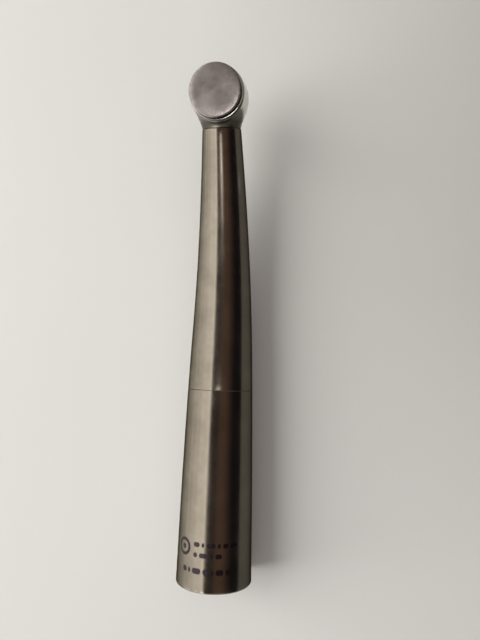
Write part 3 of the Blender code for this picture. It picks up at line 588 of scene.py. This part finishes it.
def spline(points):
    """A natural cubic through (position, value) points, as a function that gives value and slope."""
    x, y = (np.array(v, float) for v in zip(*points))
    h = np.diff(x)
    a = np.zeros((len(x), len(x)))
    b = np.zeros(len(x))
    a[0, 0] = a[-1, -1] = 1
    for i in range(1, len(x) - 1):
        a[i, i - 1], a[i, i], a[i, i + 1] = h[i - 1], 2 * (h[i - 1] + h[i]), h[i]
        b[i] = 3 * ((y[i + 1] - y[i]) / h[i] - (y[i] - y[i - 1]) / h[i - 1])
    c = np.linalg.solve(a, b)

    def at(t):
        t = np.clip(t, x[0], x[-1])
        i = np.clip(np.searchsorted(x, t) - 1, 0, len(h) - 1)
        u = t - x[i]
        slope = (y[i + 1] - y[i]) / h[i] - h[i] * (2 * c[i] + c[i + 1]) / 3
        d = (c[i + 1] - c[i]) / (3 * h[i])
        return y[i] + slope * u + c[i] * u**2 + d * u**3, slope + 2 * c[i] * u + 3 * d * u**2

    return at


HEAD_CURVE = spline(HEAD_PROFILE)
COLLAR_CURVE = spline(COLLAR_PROFILE)
NECK_WAY = np.array((0.0, -math.cos(KNEE_ANGLE - HEAD_LEAN), -math.sin(KNEE_ANGLE - HEAD_LEAN)))


def head_field(p):
    """Signed distance, near enough, to the head blended into its collar. p is in the head's frame."""
    radius, slope = HEAD_CURVE(p[:, 2])
    head = (np.hypot(p[:, 0], p[:, 1]) - radius) / np.sqrt(1 + slope**2)
    head = np.maximum(head, np.maximum(p[:, 2] - HEAD_ENDS[1], HEAD_ENDS[0] - p[:, 2]))
    along = p @ NECK_WAY
    off = np.linalg.norm(p - along[:, None] * NECK_WAY, axis=1)
    radius, slope = COLLAR_CURVE(along)
    collar = np.maximum((off - radius) / np.sqrt(1 + slope**2), np.maximum(along - COLLAR_END, -along))
    near = np.maximum(BLEND_RADIUS - np.abs(head - collar), 0) / BLEND_RADIUS
    return np.minimum(head, collar) - near**3 * BLEND_RADIUS / 6


def head_normals(p):
    """Unit normals of the blended surface."""
    step = 1e-3
    slopes = [head_field(p + step * e) - head_field(p - step * e) for e in np.eye(3)]
    n = np.stack(slopes, axis=1)
    return n / np.linalg.norm(n, axis=1, keepdims=True)


def blended_head(name):
    """The outside of the casting: rays from the middle of the head, each run out to the blended surface."""
    shape = bmesh.new()
    bmesh.ops.create_icosphere(shape, subdivisions=7, radius=1.0)
    ways = np.array([v.co for v in shape.verts])
    ways /= np.linalg.norm(ways, axis=1, keepdims=True)
    low, high = np.zeros(len(ways)), np.full(len(ways), CASTING_REACH)
    centre = np.array(CASTING_MIDDLE)
    for _ in range(HALVINGS):
        middle = (low + high) / 2
        inside = head_field(centre + ways * middle[:, None]) < 0
        low, high = np.where(inside, middle, low), np.where(inside, high, middle)
    for vertex, way, reach in zip(shape.verts, ways, low):
        vertex.co = Vector(centre + way * reach) * MM
    return mesh_of(name, shape)


def set_casting_normals(obj):
    """Gives the blended outside its exact normals, so that the cuts leave no ripples in the reflections."""
    mesh = obj.data
    points = np.empty(len(mesh.vertices) * 3)
    mesh.vertices.foreach_get("co", points)
    points = points.reshape(-1, 3) / MM
    exact = head_normals(points)
    on_skin = np.abs(head_field(points)) < SKIN_DEPTH
    loops = np.empty(len(mesh.loops), int)
    mesh.loops.foreach_get("vertex_index", loops)
    current = np.array([n.vector for n in mesh.corner_normals])
    flat = np.empty((len(mesh.loops), 3))
    sliver = np.empty(len(mesh.loops), bool)
    for polygon in mesh.polygons:
        its = slice(polygon.loop_start, polygon.loop_start + polygon.loop_total)
        flat[its] = polygon.normal
        sliver[its] = polygon.area < SLIVER_AREA * MM**2
    use = on_skin[loops] & (((flat * exact[loops]).sum(axis=1) > SAME_FACE) | sliver)
    current[use] = exact[loops][use]
    mesh.normals_split_custom_set([tuple(n) for n in current])


def casting_tools():
    """What is turned or drilled out of the casting, and the spigot that is added, in working order."""
    end = COLLAR_LENGTH - SEAM_GAP
    seat = [
        (0, 9), (6.75, 9, 0), (6.45, 5.4, 0.3), (6.04, 4.70, 0.1), (6.04, 4.30, 0.1), (5.93, 4.26, 0.05),
        (5.76, HOUSING_TOP, 0.05), (0, HOUSING_TOP),
    ]
    nose = [(0, NOSE), (3.70, NOSE, 0.1), (4.00, -6.06, 0), (9, -6.06, 0), (9, -9, 0), (0, -9)]
    trim = [(0, 14), (9, 14, 0), (9, end - 0.07, 0), (4.24, end - 0.07, 0.05), (4.12, end, 0.05), (0, end)]
    spigot = [(0, 11), (3.2, 11, 0.1), (3.5, 10.7, 0.1), (3.5, 5.6, 0), (0, 5.6)]
    bores = [
        (0, 5.6), (5.2, 5.6, 0), (5.2, 3.0, 0.05), (4.75, 3.0, 0.05), (4.75, -2.1, 0.1), (3.85, -2.1, 0.05),
        (3.85, -5.0, 0.05), (2.0, -5.0, 0.05), (2.0, NOZZLE_SEAT, 0.02), (3.30, NOZZLE_SEAT, 0.02),
        (3.30, -7.2, 0), (0, -7.2),
    ]
    tools = [
        lathe("seat_cut", seat, HEAD),
        lathe("nose_cut", nose, HEAD),
        lathe("collar_cut", trim, NECK),
        lathe("spigot", spigot, NECK, None, BORE_STEPS),
        lathe("bore_cut", bores, HEAD, None, BORE_STEPS),
        cylinder("spigot_bore", 2.9, 7.4, 14.0, NECK, 64),
        cylinder("lens_cut", 0.55, -2.4, 1.0, LENS, 48),
    ]
    # Channels through the collar: radius, start and end on the neck's axis, and place beside it
    channels = (
        ("drive_cut", 1.15, 6.3, 9.0, 0.0, 1.5),
        ("jet_cut", 0.70, 3.0, 7.0, 0.0, 1.5),
        ("water_cut", 0.55, 6.3, 9.0, -1.9, -0.1),
        ("air_cut", 0.55, 6.3, 9.0, 1.9, -0.1),
        ("exhaust_cut_a", 0.45, 3.0, 9.0, 1.75, -1.35),
        ("exhaust_cut_b", 0.45, 3.0, 9.0, -1.75, -1.35),
        ("light_cut", 0.78, 5.3, 7.6, 0.0, -1.75),
    )
    for name, radius, low, high, side, up in channels:
        tools.append(cylinder(name, radius, low, high, NECK @ shift(side, up)))
    return tools


def make_head():
    """Housing: the blended casting with its seat, nose, bores and channels cut."""
    shell = add_piece("head_shell", blended_head("head_shell"), HEAD, HEAD_SATIN, sharp=False)
    apply_booleans(shell, casting_tools(), added=("spigot",))
    set_casting_normals(shell)
    done(shell, "handpiece", "head_metal", "head_housing")


def make_light_lens():
    """Small domed lens beside the bur."""
    profile = [(0, 0.12), (0.20, 0.11), (0.36, 0.08), (0.50, 0.0, 0.03), (0.50, -1.60, 0.03), (0, -1.60)]
    done(lathe("lens_glass", profile, LENS, GLASS, 64, 0.0), "handpiece", "glass", "light_lens")


def make_nozzle_ring():
    """Ring in the nose with four spray holes round the bur."""
    top = NOZZLE_SEAT - 0.05
    profile = [(3.25, top, 0.03), (3.25, NOSE, 0.06), (1.95, NOSE, 0.12), (1.95, top, 0.03)]
    nozzle = lathe("nozzle_plate", profile, HEAD, POLISHED, INSERT_STEPS)
    holes = []
    for i in range(4):
        place = HEAD @ turn(math.pi / 4 + i * math.pi / 2) @ shift(2.62)
        holes.append(cylinder(f"spray_{i}", 0.25, -7.2, -5.0, place, 28))
    apply_booleans(nozzle, holes)
    done(nozzle, "handpiece", "polished_steel", "nozzle_ring")


make_head()
make_light_lens()
make_nozzle_ring()


# --- Back cap and button -------------------------------------------------------------------------------


KNURL_TOP = 5.20
KNURL_DEPTH = 0.16
PIN_HOLE_TURN = math.radians(-8)


def knurl(obj):
    """Cuts the ridges into the cap's outside, below its bright rim."""
    for vertex in obj.data.vertices:
        radius, height = vertex.co.xy.length / MM, vertex.co.z / MM
        if radius > CAP_RADIUS - 0.25 and height < KNURL_TOP:
            ridge = 0.5 + 0.5 * math.cos(CAP_RIDGES * math.atan2(vertex.co.y, vertex.co.x))
            vertex.co.xy *= 1 - KNURL_DEPTH * ridge / radius


def paint_groove_shade(obj, inner, outer, low, high):
    """Gives a piece's faces in a ring of its own frame the dark metal that stands in for the shade in the
    groove.
    """
    obj.data.materials.append(PAINTED_GROOVE_SHADE)
    for polygon in obj.data.polygons:
        centre = polygon.center
        if inner * MM < centre.xy.length < outer * MM and low * MM < centre.z < high * MM:
            polygon.material_index = len(obj.data.materials) - 1


def make_back_cap():
    """Bright screwed ring under the button, with its knurl painted dark as shade in the groove, and two
    pin-spanner holes in its edge.
    """
    profile = [
        (CAP_RADIUS, CAP_TOP, 0.14), (CAP_RADIUS, 5.22, 0), (CAP_RADIUS - 0.05, 5.18, 0),
        (CAP_RADIUS - 0.05, 4.62, 0.10), (5.10, 4.62, 0.05), (5.10, 3.10, 0.05), (4.65, 3.05, 0.05),
        (4.65, 1.80, 0.08), (3.85, 1.80, 0.05), (3.85, 3.68, 0.05), (1.15, 3.68, 0.04), (1.15, 3.98, 0.04),
        (CAP_BORE, 3.98, 0.08), (CAP_BORE, 4.96, 0.02), (4.92, 4.96, 0.02), (4.92, 5.24, 0.02),
        (CAP_BORE, 5.24, 0.02), (CAP_BORE, CAP_TOP, 0.08),
    ]
    cap = lathe("back_cap_ring", profile, HEAD, POLISHED, CAP_STEPS)
    knurl(cap)
    holes = []
    for i in range(2):
        place = HEAD @ turn(PIN_HOLE_TURN + i * math.pi) @ shift(6.4, 0.0, 5.0) @ turn(math.pi / 2, "Y")
        holes.append(cylinder(f"pin_hole_{i}", 0.24, -1.0, 1.0, place, 28))
    apply_booleans(cap, holes)
    # Painted shade: the knurl in the groove beside the housing gets the dark metal
    paint_groove_shade(cap, 5.42, 6.5, 4.4, KNURL_TOP + 0.005)
    done(cap, "handpiece", "polished_steel", "back_cap")


def make_button():
    """Push button: flat face falling off to a soft shoulder, side wall, lipped skirt, and the stem."""
    # How far the face has dropped at each radius
    face = [
        (0.0, 0.0), (1.5, 0.002), (2.6, 0.006), (3.4, 0.012), (4.0, 0.020), (4.4, 0.030), (4.75, 0.044),
        (5.0, 0.058), (5.18, 0.072),
    ]
    shoulder = [(BUTTON_RADIUS - 0.15, 0.09), (BUTTON_RADIUS - 0.04, 0.16), (BUTTON_RADIUS, 0.28)]
    profile = [(r, BUTTON_TOP - drop, 0) for r, drop in face]
    profile += [(r, BUTTON_TOP - drop, 0.1) for r, drop in shoulder]
    profile += [
        (BUTTON_RADIUS, BUTTON_UNDERSIDE, 0.12), (4.30, BUTTON_UNDERSIDE, 0.08), (4.30, 4.93, 0.03),
        (4.60, 4.93, 0.03), (4.60, 4.73, 0.04), (3.90, 4.73, 0.04), (3.90, 6.12, 0.12), (0.75, 6.12, 0.1),
        (0.75, 3.75, 0.04), (0.65, 3.65, 0.04), (0.0, 3.65),
    ]
    button = lathe("push_button_cap", profile, HEAD, BUTTON)
    # Painted shade: the button's skirt and underside, in the slot above the cap, get the dark metal
    button.data.materials.append(PAINTED_SLOT_SHADE)
    for polygon in button.data.polygons:
        if polygon.center.z < (BUTTON_UNDERSIDE + 0.02) * MM:
            polygon.material_index = 1
    done(button, "button", "button_metal", "push_button")


make_back_cap()
make_button()


# --- Springs, shaft and chuck --------------------------------------------------------------------------


def spring(name, radius, bottom, top, turns, wire, per_turn=48, sides=16):
    """A closed coil spring in the head's frame, its ends capped."""
    shape = bmesh.new()
    rings = []
    count = turns * per_turn
    for i in range(count + 1):
        turned_by = i / per_turn
        rise = min(max((turned_by - 0.5) / (turns - 1), 0.0), 1.0)
        rise = rise * rise * (3 - 2 * rise)
        angle = 2 * math.pi * turned_by
        out = Vector((math.cos(angle), math.sin(angle), 0.0))
        centre = out * radius + Vector((0.0, 0.0, bottom + (top - bottom) * rise))
        points = []
        for k in range(sides):
            a = 2 * math.pi * k / sides
            round_wire = wire * (out * math.cos(a) + Vector((0, 0, math.sin(a))))
            points.append(shape.verts.new((centre + round_wire) * MM))
        rings.append(points)
    for before, after in zip(rings, rings[1:]):
        for k in range(sides):
            shape.faces.new((before[k], before[(k + 1) % sides], after[(k + 1) % sides], after[k]))
    shape.faces.new(rings[0])
    shape.faces.new(reversed(rings[-1]))
    bmesh.ops.recalc_face_normals(shape, faces=shape.faces)
    return add_piece(name, mesh_of(name, shape), HEAD, SPRING_STEEL)


def make_springs():
    """The button's return spring and the chuck's, each with a mesh of its own."""
    coil = spring("button_return_spring", 3.1, 4.26, 5.85, 3, 0.24)
    done(coil, "handpiece", "spring_steel", "button_spring")
    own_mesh(coil)
    coil = spring("chuck_return_spring", 0.80, 2.06, 2.90, 3, 0.12)
    done(coil, "rotor", "spring_steel", "chuck_spring")
    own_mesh(coil)


def make_shaft():
    """Hollow spindle, smooth where the CAD's is faceted."""
    profile = [
        (SHAFT_RADIUS, 3.50, 0.08), (SHAFT_RADIUS, 1.18, 0.02), (1.90, 1.18, 0.05), (1.90, -2.12, 0.05),
        (SHAFT_RADIUS, -2.12, 0.02), (SHAFT_RADIUS, -6.50, 0.12), (1.18, -6.50, 0.06), (1.18, 1.60, 0.02),
        (0.62, 1.60, 0.02), (0.62, 1.90, 0.02), (1.12, 1.90, 0.02), (1.12, 3.50, 0.03),
    ]
    done(lathe("spindle", profile, HEAD, POLISHED, SMALL_STEPS), "rotor", "polished_steel", "rotor_shaft")


def make_collet():
    """Three-jaw collet that grips the bur's shank."""
    profile = [
        (COLLET_RADIUS, 1.10, 0.05), (COLLET_RADIUS, NOSE, 0.1), (SHANK_RADIUS, NOSE, 0.1),
        (SHANK_RADIUS, 0.50, 0.02), (0.56, 0.60, 0.01), (0.56, 1.10, 0.02),
    ]
    collet = lathe("collet_jaws", profile, HEAD, SPRING_STEEL, SMALL_STEPS)
    slots = []
    for i in range(3):
        place = HEAD @ turn(math.radians(30) + i * 2 * math.pi / 3) @ shift(1.0, 0.0, -4.45)
        slots.append(block(f"jaw_slot_{i}", (2.0, 0.22, 4.5), place))
    apply_booleans(collet, slots)
    done(collet, "chuck", "spring_steel", "chuck_collet")


make_springs()
make_shaft()
make_collet()


# --- Rear socket ---------------------------------------------------------------------------------------


def make_coupling():
    """Stepped socket for the hose coupling, with its ports and four spanner slots."""
    profile = [
        (0, 30.0), (6.5, 30.0, 0.3), (6.5, 8.6, 0.05), (7.0, 7.9, 0.05), (7.0, 1.9, 0.03), (7.3, 1.9, 0.03),
        (7.3, 0.0, 0.10), (5.95, 0.0, 0.10), (5.6, 0.35, 0.08), (5.6, 8.0, 0.05), (6.1, 8.0, 0.05),
        (6.1, 9.4, 0.05), (5.6, 9.4, 0.05), (5.6, 13.65, 0.08), (4.8, 14.0, 0.08), (4.6, 14.2, 0.08),
        (4.6, 24.0, 0.08), (0, 24.0),
    ]
    insert = lathe("coupling_insert", profile, HANDLE, POLISHED, INSERT_STEPS)
    # Ports as (radius, place to the side, place upwards): drive air, water, spray air, light and exhausts
    ports = [(1.10, 0.0, 2.70), (0.50, -3.2, 0.0), (0.50, 3.2, 0.0), (0.75, 0.0, -2.70)]
    ports += [(0.75, side * 1.95, up) for side in (1, -1) for up in (1.95, -2.05)]
    cuts = []
    for i, (radius, side, up) in enumerate(ports):
        place = HANDLE @ shift(side, -up)
        cuts.append(cylinder(f"port_{i}", radius, 23.0, 31.0, place, 40))
    for i in range(4):
        place = HANDLE @ turn(math.pi / 4 + i * math.pi / 2) @ shift(0.0, 7.4, 0.0)
        cuts.append(block(f"spanner_slot_{i}", (1.2, 2.2, 1.6), place))
    apply_booleans(insert, cuts)
    done(insert, "handpiece", "polished_steel", "coupling_body")


def make_detent():
    """Open spring ring that clicks into the coupling's groove."""
    profile = [(6.05, 8.1, 0.08), (6.05, 9.3, 0.08), (5.68, 9.3, 0.12), (5.68, 8.1, 0.12)]
    ring = lathe("detent_spring_ring", profile, HANDLE, SPRING_STEEL, INSERT_STEPS)
    gap = block("detent_gap", (1.0, 2.0, 3.0), HANDLE @ shift(0.0, -5.9, 8.7))
    apply_booleans(ring, [gap])
    done(ring, "handpiece", "spring_steel", "detent_ring")


make_coupling()
make_detent()


# --- Laser marks ---------------------------------------------------------------------------------------


MARK_FACES = (0.010, -0.030)  # the outer face stands proud of the sleeve, the inner one lies in it
RING_PLACE = (5.75, 8.8)
RING_RADII = (1.20, 1.80)
DOT_RADII = (0.12, 0.52)
BAR_GAP = 0.45
BAR_ROWS = (  # start round the sleeve, place along it, height, and the bars' lengths
    (3.1, 9.7, 0.95, (1.4, 0.6, 1.9, 0.7, 1.2, 1.5)),
    (3.1, 7.6, 0.95, (0.9, 1.9, 0.7, 1.4)),
    (5.9, 4.4, 1.15, (1.1, 0.6, 2.0, 1.3, 0.6, 1.6, 1.1)),
)


def on_sleeve(around, along, proud):
    """The point, in metres, at a distance round the rear sleeve from its top and a distance along it."""
    radius = outer_radius(along)
    angle = math.pi / 2 + around / radius
    out = radius + proud
    return Vector((out * math.cos(angle), along, out * math.sin(angle))) * MM


def mark_patch(shape, rows):
    """Adds a thin closed patch on the sleeve, from rows of (distance round it, distance along it)."""
    top, bottom = (
        [[shape.verts.new(on_sleeve(around, along, proud)) for around, along in row] for row in rows]
        for proud in MARK_FACES
    )
    last, side = len(rows) - 1, len(rows[0]) - 1
    for i in range(last):
        for k in range(side):
            shape.faces.new((top[i][k], top[i + 1][k], top[i + 1][k + 1], top[i][k + 1]))
            shape.faces.new((bottom[i][k], bottom[i][k + 1], bottom[i + 1][k + 1], bottom[i + 1][k]))
    border = [(0, k) for k in range(side + 1)] + [(i, side) for i in range(1, last + 1)]
    border += [(last, k) for k in range(side - 1, -1, -1)] + [(i, 0) for i in range(last - 1, 0, -1)]
    for (i, k), (j, m) in zip(border, border[1:] + border[:1]):
        shape.faces.new((top[i][k], top[j][m], bottom[j][m], bottom[i][k]))


def mark_bar(shape, start, length, along, height):
    """Adds a bar with rounded ends."""
    columns = max(6, int(length / 0.15))
    end_radius = 0.35 * height
    rows = []
    for i in range(columns + 1):
        t = i / columns
        from_end = min(t, 1 - t) * length
        half = height / 2 * math.sqrt(max(1 - max(1 - from_end / end_radius, 0) ** 2, 0.04))
        around = start - t * length
        rows.append([(around, along - half), (around, along), (around, along + half)])
    mark_patch(shape, rows)


def mark_ring(shape, around, along, inner, outer, parts=4, steps=12):
    """Adds a ring, in parts that meet edge to edge."""
    for part in range(parts):
        rows = []
        for i in range(steps + 1):
            a = 2 * math.pi * (part + i / steps) / parts
            radii = (inner, (inner + outer) / 2, outer)
            rows.append([(around + r * math.cos(a), along + r * math.sin(a)) for r in radii])
        mark_patch(shape, rows)


def make_marks():
    """Laser-darkened marks on the rear sleeve that say nothing: a ring with a dot, and rows of bars."""
    shape = bmesh.new()
    for radii in (RING_RADII, DOT_RADII):
        mark_ring(shape, *RING_PLACE, *radii)
    for start, along, height, lengths in BAR_ROWS:
        for length in lengths:
            mark_bar(shape, start, length, along, height)
            start -= length + BAR_GAP
    bmesh.ops.remove_doubles(shape, verts=shape.verts, dist=1e-7)
    bmesh.ops.recalc_face_normals(shape, faces=shape.faces)
    marks = add_piece("laser_marks", mesh_of("laser_marks", shape), None, MARK)
    done(marks, "handpiece", "satin_metal")


make_marks()


# --- CAD nodes that keep their shape -------------------------------------------------------------------


def dress_cad_nodes():
    """Gives every node that is still shown the finish of its slot."""
    slots = {row["node"]: row["material_slot"] for row in frame["record"]["subparts"]}
    for name, obj in frame["nodes"].items():
        obj.data.materials.clear()
        obj.data.materials.append(SLOT_MATERIALS[slots[name]])


dress_cad_nodes()


# --- Studio --------------------------------------------------------------------------------------------


# Everything in this section is in metres. A light of 4 W per square metre shows at radiance 1.
WATTS_PER_AREA = 4.0
WARM = (1.0, 0.97, 0.925)
ROSY = (1.0, 0.95, 0.94)
FLOOR_MIDDLE = (0.0, 0.05)
CAMERA_PLACE = (0.02378, 0.04694, 0.12161)
CAMERA_RIGHT = (0.98695, 0.03246, -0.15773)
CAMERA_UP = (-0.01836, 0.99577, 0.09007)
CAMERA_LENS = 30.44


def add_light(name, size, place, target, radiance, colour, glossy=True, diffuse=True):
    """A soft area light of the given radiance."""
    data = bpy.data.lights.new(name, "AREA")
    data.shape = "RECTANGLE"
    data.size, data.size_y = size
    data.energy = radiance * size[0] * size[1] * WATTS_PER_AREA
    data.color = colour
    obj = bpy.data.objects.new(name, data)
    SCENE.collection.objects.link(obj)
    obj.location = place
    way = Vector(target) - Vector(place)
    obj.rotation_euler = way.to_track_quat("-Z", "Y").to_euler()
    obj.visible_glossy = glossy
    obj.visible_diffuse = diffuse
    obj.visible_camera = False
    return obj


def light_only(light, *names):
    """Keeps a small accent light to the pieces it is meant for."""
    lit = bpy.data.collections.new(light.name + "_lit")
    for name in names:
        lit.objects.link(bpy.data.objects[name])
    light.light_linking.receiver_collection = lit


def make_floor():
    """Pale matt floor, with painted shade towards the right beside the head."""
    bpy.ops.mesh.primitive_plane_add(size=1.4, location=(*FLOOR_MIDDLE, CAD_BOX[0][2] - 0.00002))
    floor = bpy.context.object
    floor.name = "floor"
    material, n = new_material("floor_pale")
    at = n.add("TexCoord").outputs["Object"]
    tone = n.noise(at, 0.010, 3.0, 0.5)
    fine = n.noise(at, 2.0, 3.0, 0.6)
    base = n.mix(n.spread(tone, 0.3, 0.7), (0.805, 0.790, 0.765, 1.0), (0.825, 0.812, 0.792, 1.0))
    split = n.add("SeparateXYZ", {"Vector": at}).outputs
    # Painted shade: the floor is darkened towards the right beside the head
    painted_floor_shade = n.product(n.spread(split[0], -0.01, 0.06), n.spread(split[1], -0.05, 0.02, 0.35, 1.0))
    base = n.mix(n.math("MULTIPLY", painted_floor_shade, 0.30), base, (0.20, 0.185, 0.165, 1.0))
    shader = n.add("BsdfPrincipled", {"Base Color": base, "Roughness": 0.75, "Specular IOR Level": 0.2})
    finish_material(n, shader, fine, 0.02, 0.3)
    floor.data.materials.append(material)
    floor.visible_glossy = False
    floor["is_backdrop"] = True


def make_world():
    """A dim warm room, dark to the right and paler beyond both ends of the handle, over a shaded table."""
    world = bpy.data.worlds.new("studio")
    SCENE.world = world
    world.use_nodes = True
    n = Nodes(world.node_tree)
    way = n.add("SeparateXYZ", {"Vector": n.add("TexCoord").outputs["Generated"]}).outputs
    warm = n.spread(way[0], 0.06, 0.24)
    shade = n.spread(way[0], 0.52, 0.84)
    ends = n.spread(n.math("ABSOLUTE", way[1]), 0.55, 0.95)
    room = n.mix(warm, (0.034, 0.027, 0.025, 1.0), (0.092, 0.058, 0.044, 1.0))
    room = n.mix(shade, room, (0.010, 0.009, 0.011, 1.0))
    room = n.mix(ends, room, (0.30, 0.28, 0.26, 1.0))
    table = n.mix(n.spread(way[0], -0.25, 0.15), (0.47, 0.46, 0.43, 1.0), (0.13, 0.125, 0.115, 1.0))
    colour = n.mix(n.spread(way[2], 0.01, -0.02), room, table)
    # Beyond the floor's edge the camera sees a pale backdrop in place of the room
    colour = n.mix(n.add("LightPath").outputs["Is Camera Ray"], colour, (0.58, 0.57, 0.55, 1.0))
    background = n.add("Background", {"Color": colour, "Strength": 1.0})
    n.add("OutputWorld", {"Surface": background.outputs[0]})


def make_camera():
    """Hand-held view from above the handle."""
    data = bpy.data.cameras.new("camera")
    data.sensor_fit = "VERTICAL"
    data.sensor_height = 36.0
    data.lens = CAMERA_LENS
    data.clip_start = 0.005
    data.clip_end = 20.0
    obj = bpy.data.objects.new("camera", data)
    SCENE.collection.objects.link(obj)
    right = Vector(CAMERA_RIGHT).normalized()
    back = right.cross(Vector(CAMERA_UP)).normalized()
    axes = Matrix((right, back.cross(right), back)).transposed().to_4x4()
    obj.matrix_world = Matrix.Translation(CAMERA_PLACE) @ axes
    SCENE.camera = obj


def make_windows():
    """A tall window to the left, in strips that brighten upwards, for the metal to mirror."""
    for name, low, high, radiance in (
        ("window_foot", 0.0, 0.10, 0.44),
        ("window_low", 0.10, 0.22, 0.53),
        ("window", 0.22, 0.58, 0.65),
        ("window_top", 0.58, 0.83, 0.90),
    ):
        middle = (low + high) / 2
        place, target = (-0.30, 0.08, middle), (0.0, 0.08, middle)
        add_light(name, (1.9, high - low), place, target, radiance, WARM, diffuse=False)


def make_accents():
    """Lights that only one or two pieces mirror: name, size, place, aim, radiance, colour, pieces."""
    neck, head, straight_up = (0.0, 0.09, 0.0), (0.0, 0.10, 0.0), (0.103, 0.179, 1.0)
    on_neck, on_head = ("neck_sleeve_shell",), ("head_shell", "back_cap_ring")
    on_button = ("push_button_cap", "back_cap_ring")
    for name, size, place, target, radiance, colour, pieces in (
        ("tube", (0.07, 0.20), (0.084, -0.125, 0.97), neck, 1.6, (1.0, 0.92, 0.90), on_neck),
        ("tube_shade", (0.30, 0.22), (0.035, -0.125, 0.99), neck, 0.42, (1.0, 0.93, 0.89), on_neck),
        ("end_card", (0.4, 0.3), (-0.25, -0.35, 0.30), head, 1.2, (1.0, 0.96, 0.93), on_head),
        ("soft_box", (0.12, 0.12), (-0.060, -0.005, 0.95), head, 4.2, ROSY, on_button),
        ("button_fill", (0.6, 0.6), (-0.15, 0.15, 0.80), head, 0.13, ROSY, on_button),
        ("table_glow", (0.20, 0.15), (0.103, 0.179, -0.0078), straight_up, 0.42, (1.0, 1.0, 0.97), on_head),
    ):
        light_only(add_light(name, size, place, target, radiance, colour, diffuse=False), *pieces)


def make_room_light():
    """The light that falls on everything: a dim ceiling and the window's sky."""
    above, beside = (*FLOOR_MIDDLE, 2.0), (-0.55, 0.06, 0.40)
    add_light("ceiling", (4.0, 4.0), above, (*FLOOR_MIDDLE, 0.0), 0.34, (1.0, 0.99, 0.97), glossy=False)
    add_light("sky", (0.6, 0.9), beside, (0.0, 0.06, 0.0), 2.7, (1.0, 0.995, 0.968), glossy=False)


make_floor()
make_world()
make_camera()
make_windows()
make_accents()
make_room_light()

BOXES = [[list(map(float, corner)) for corner in box] for box in (CAD_BOX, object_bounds())]
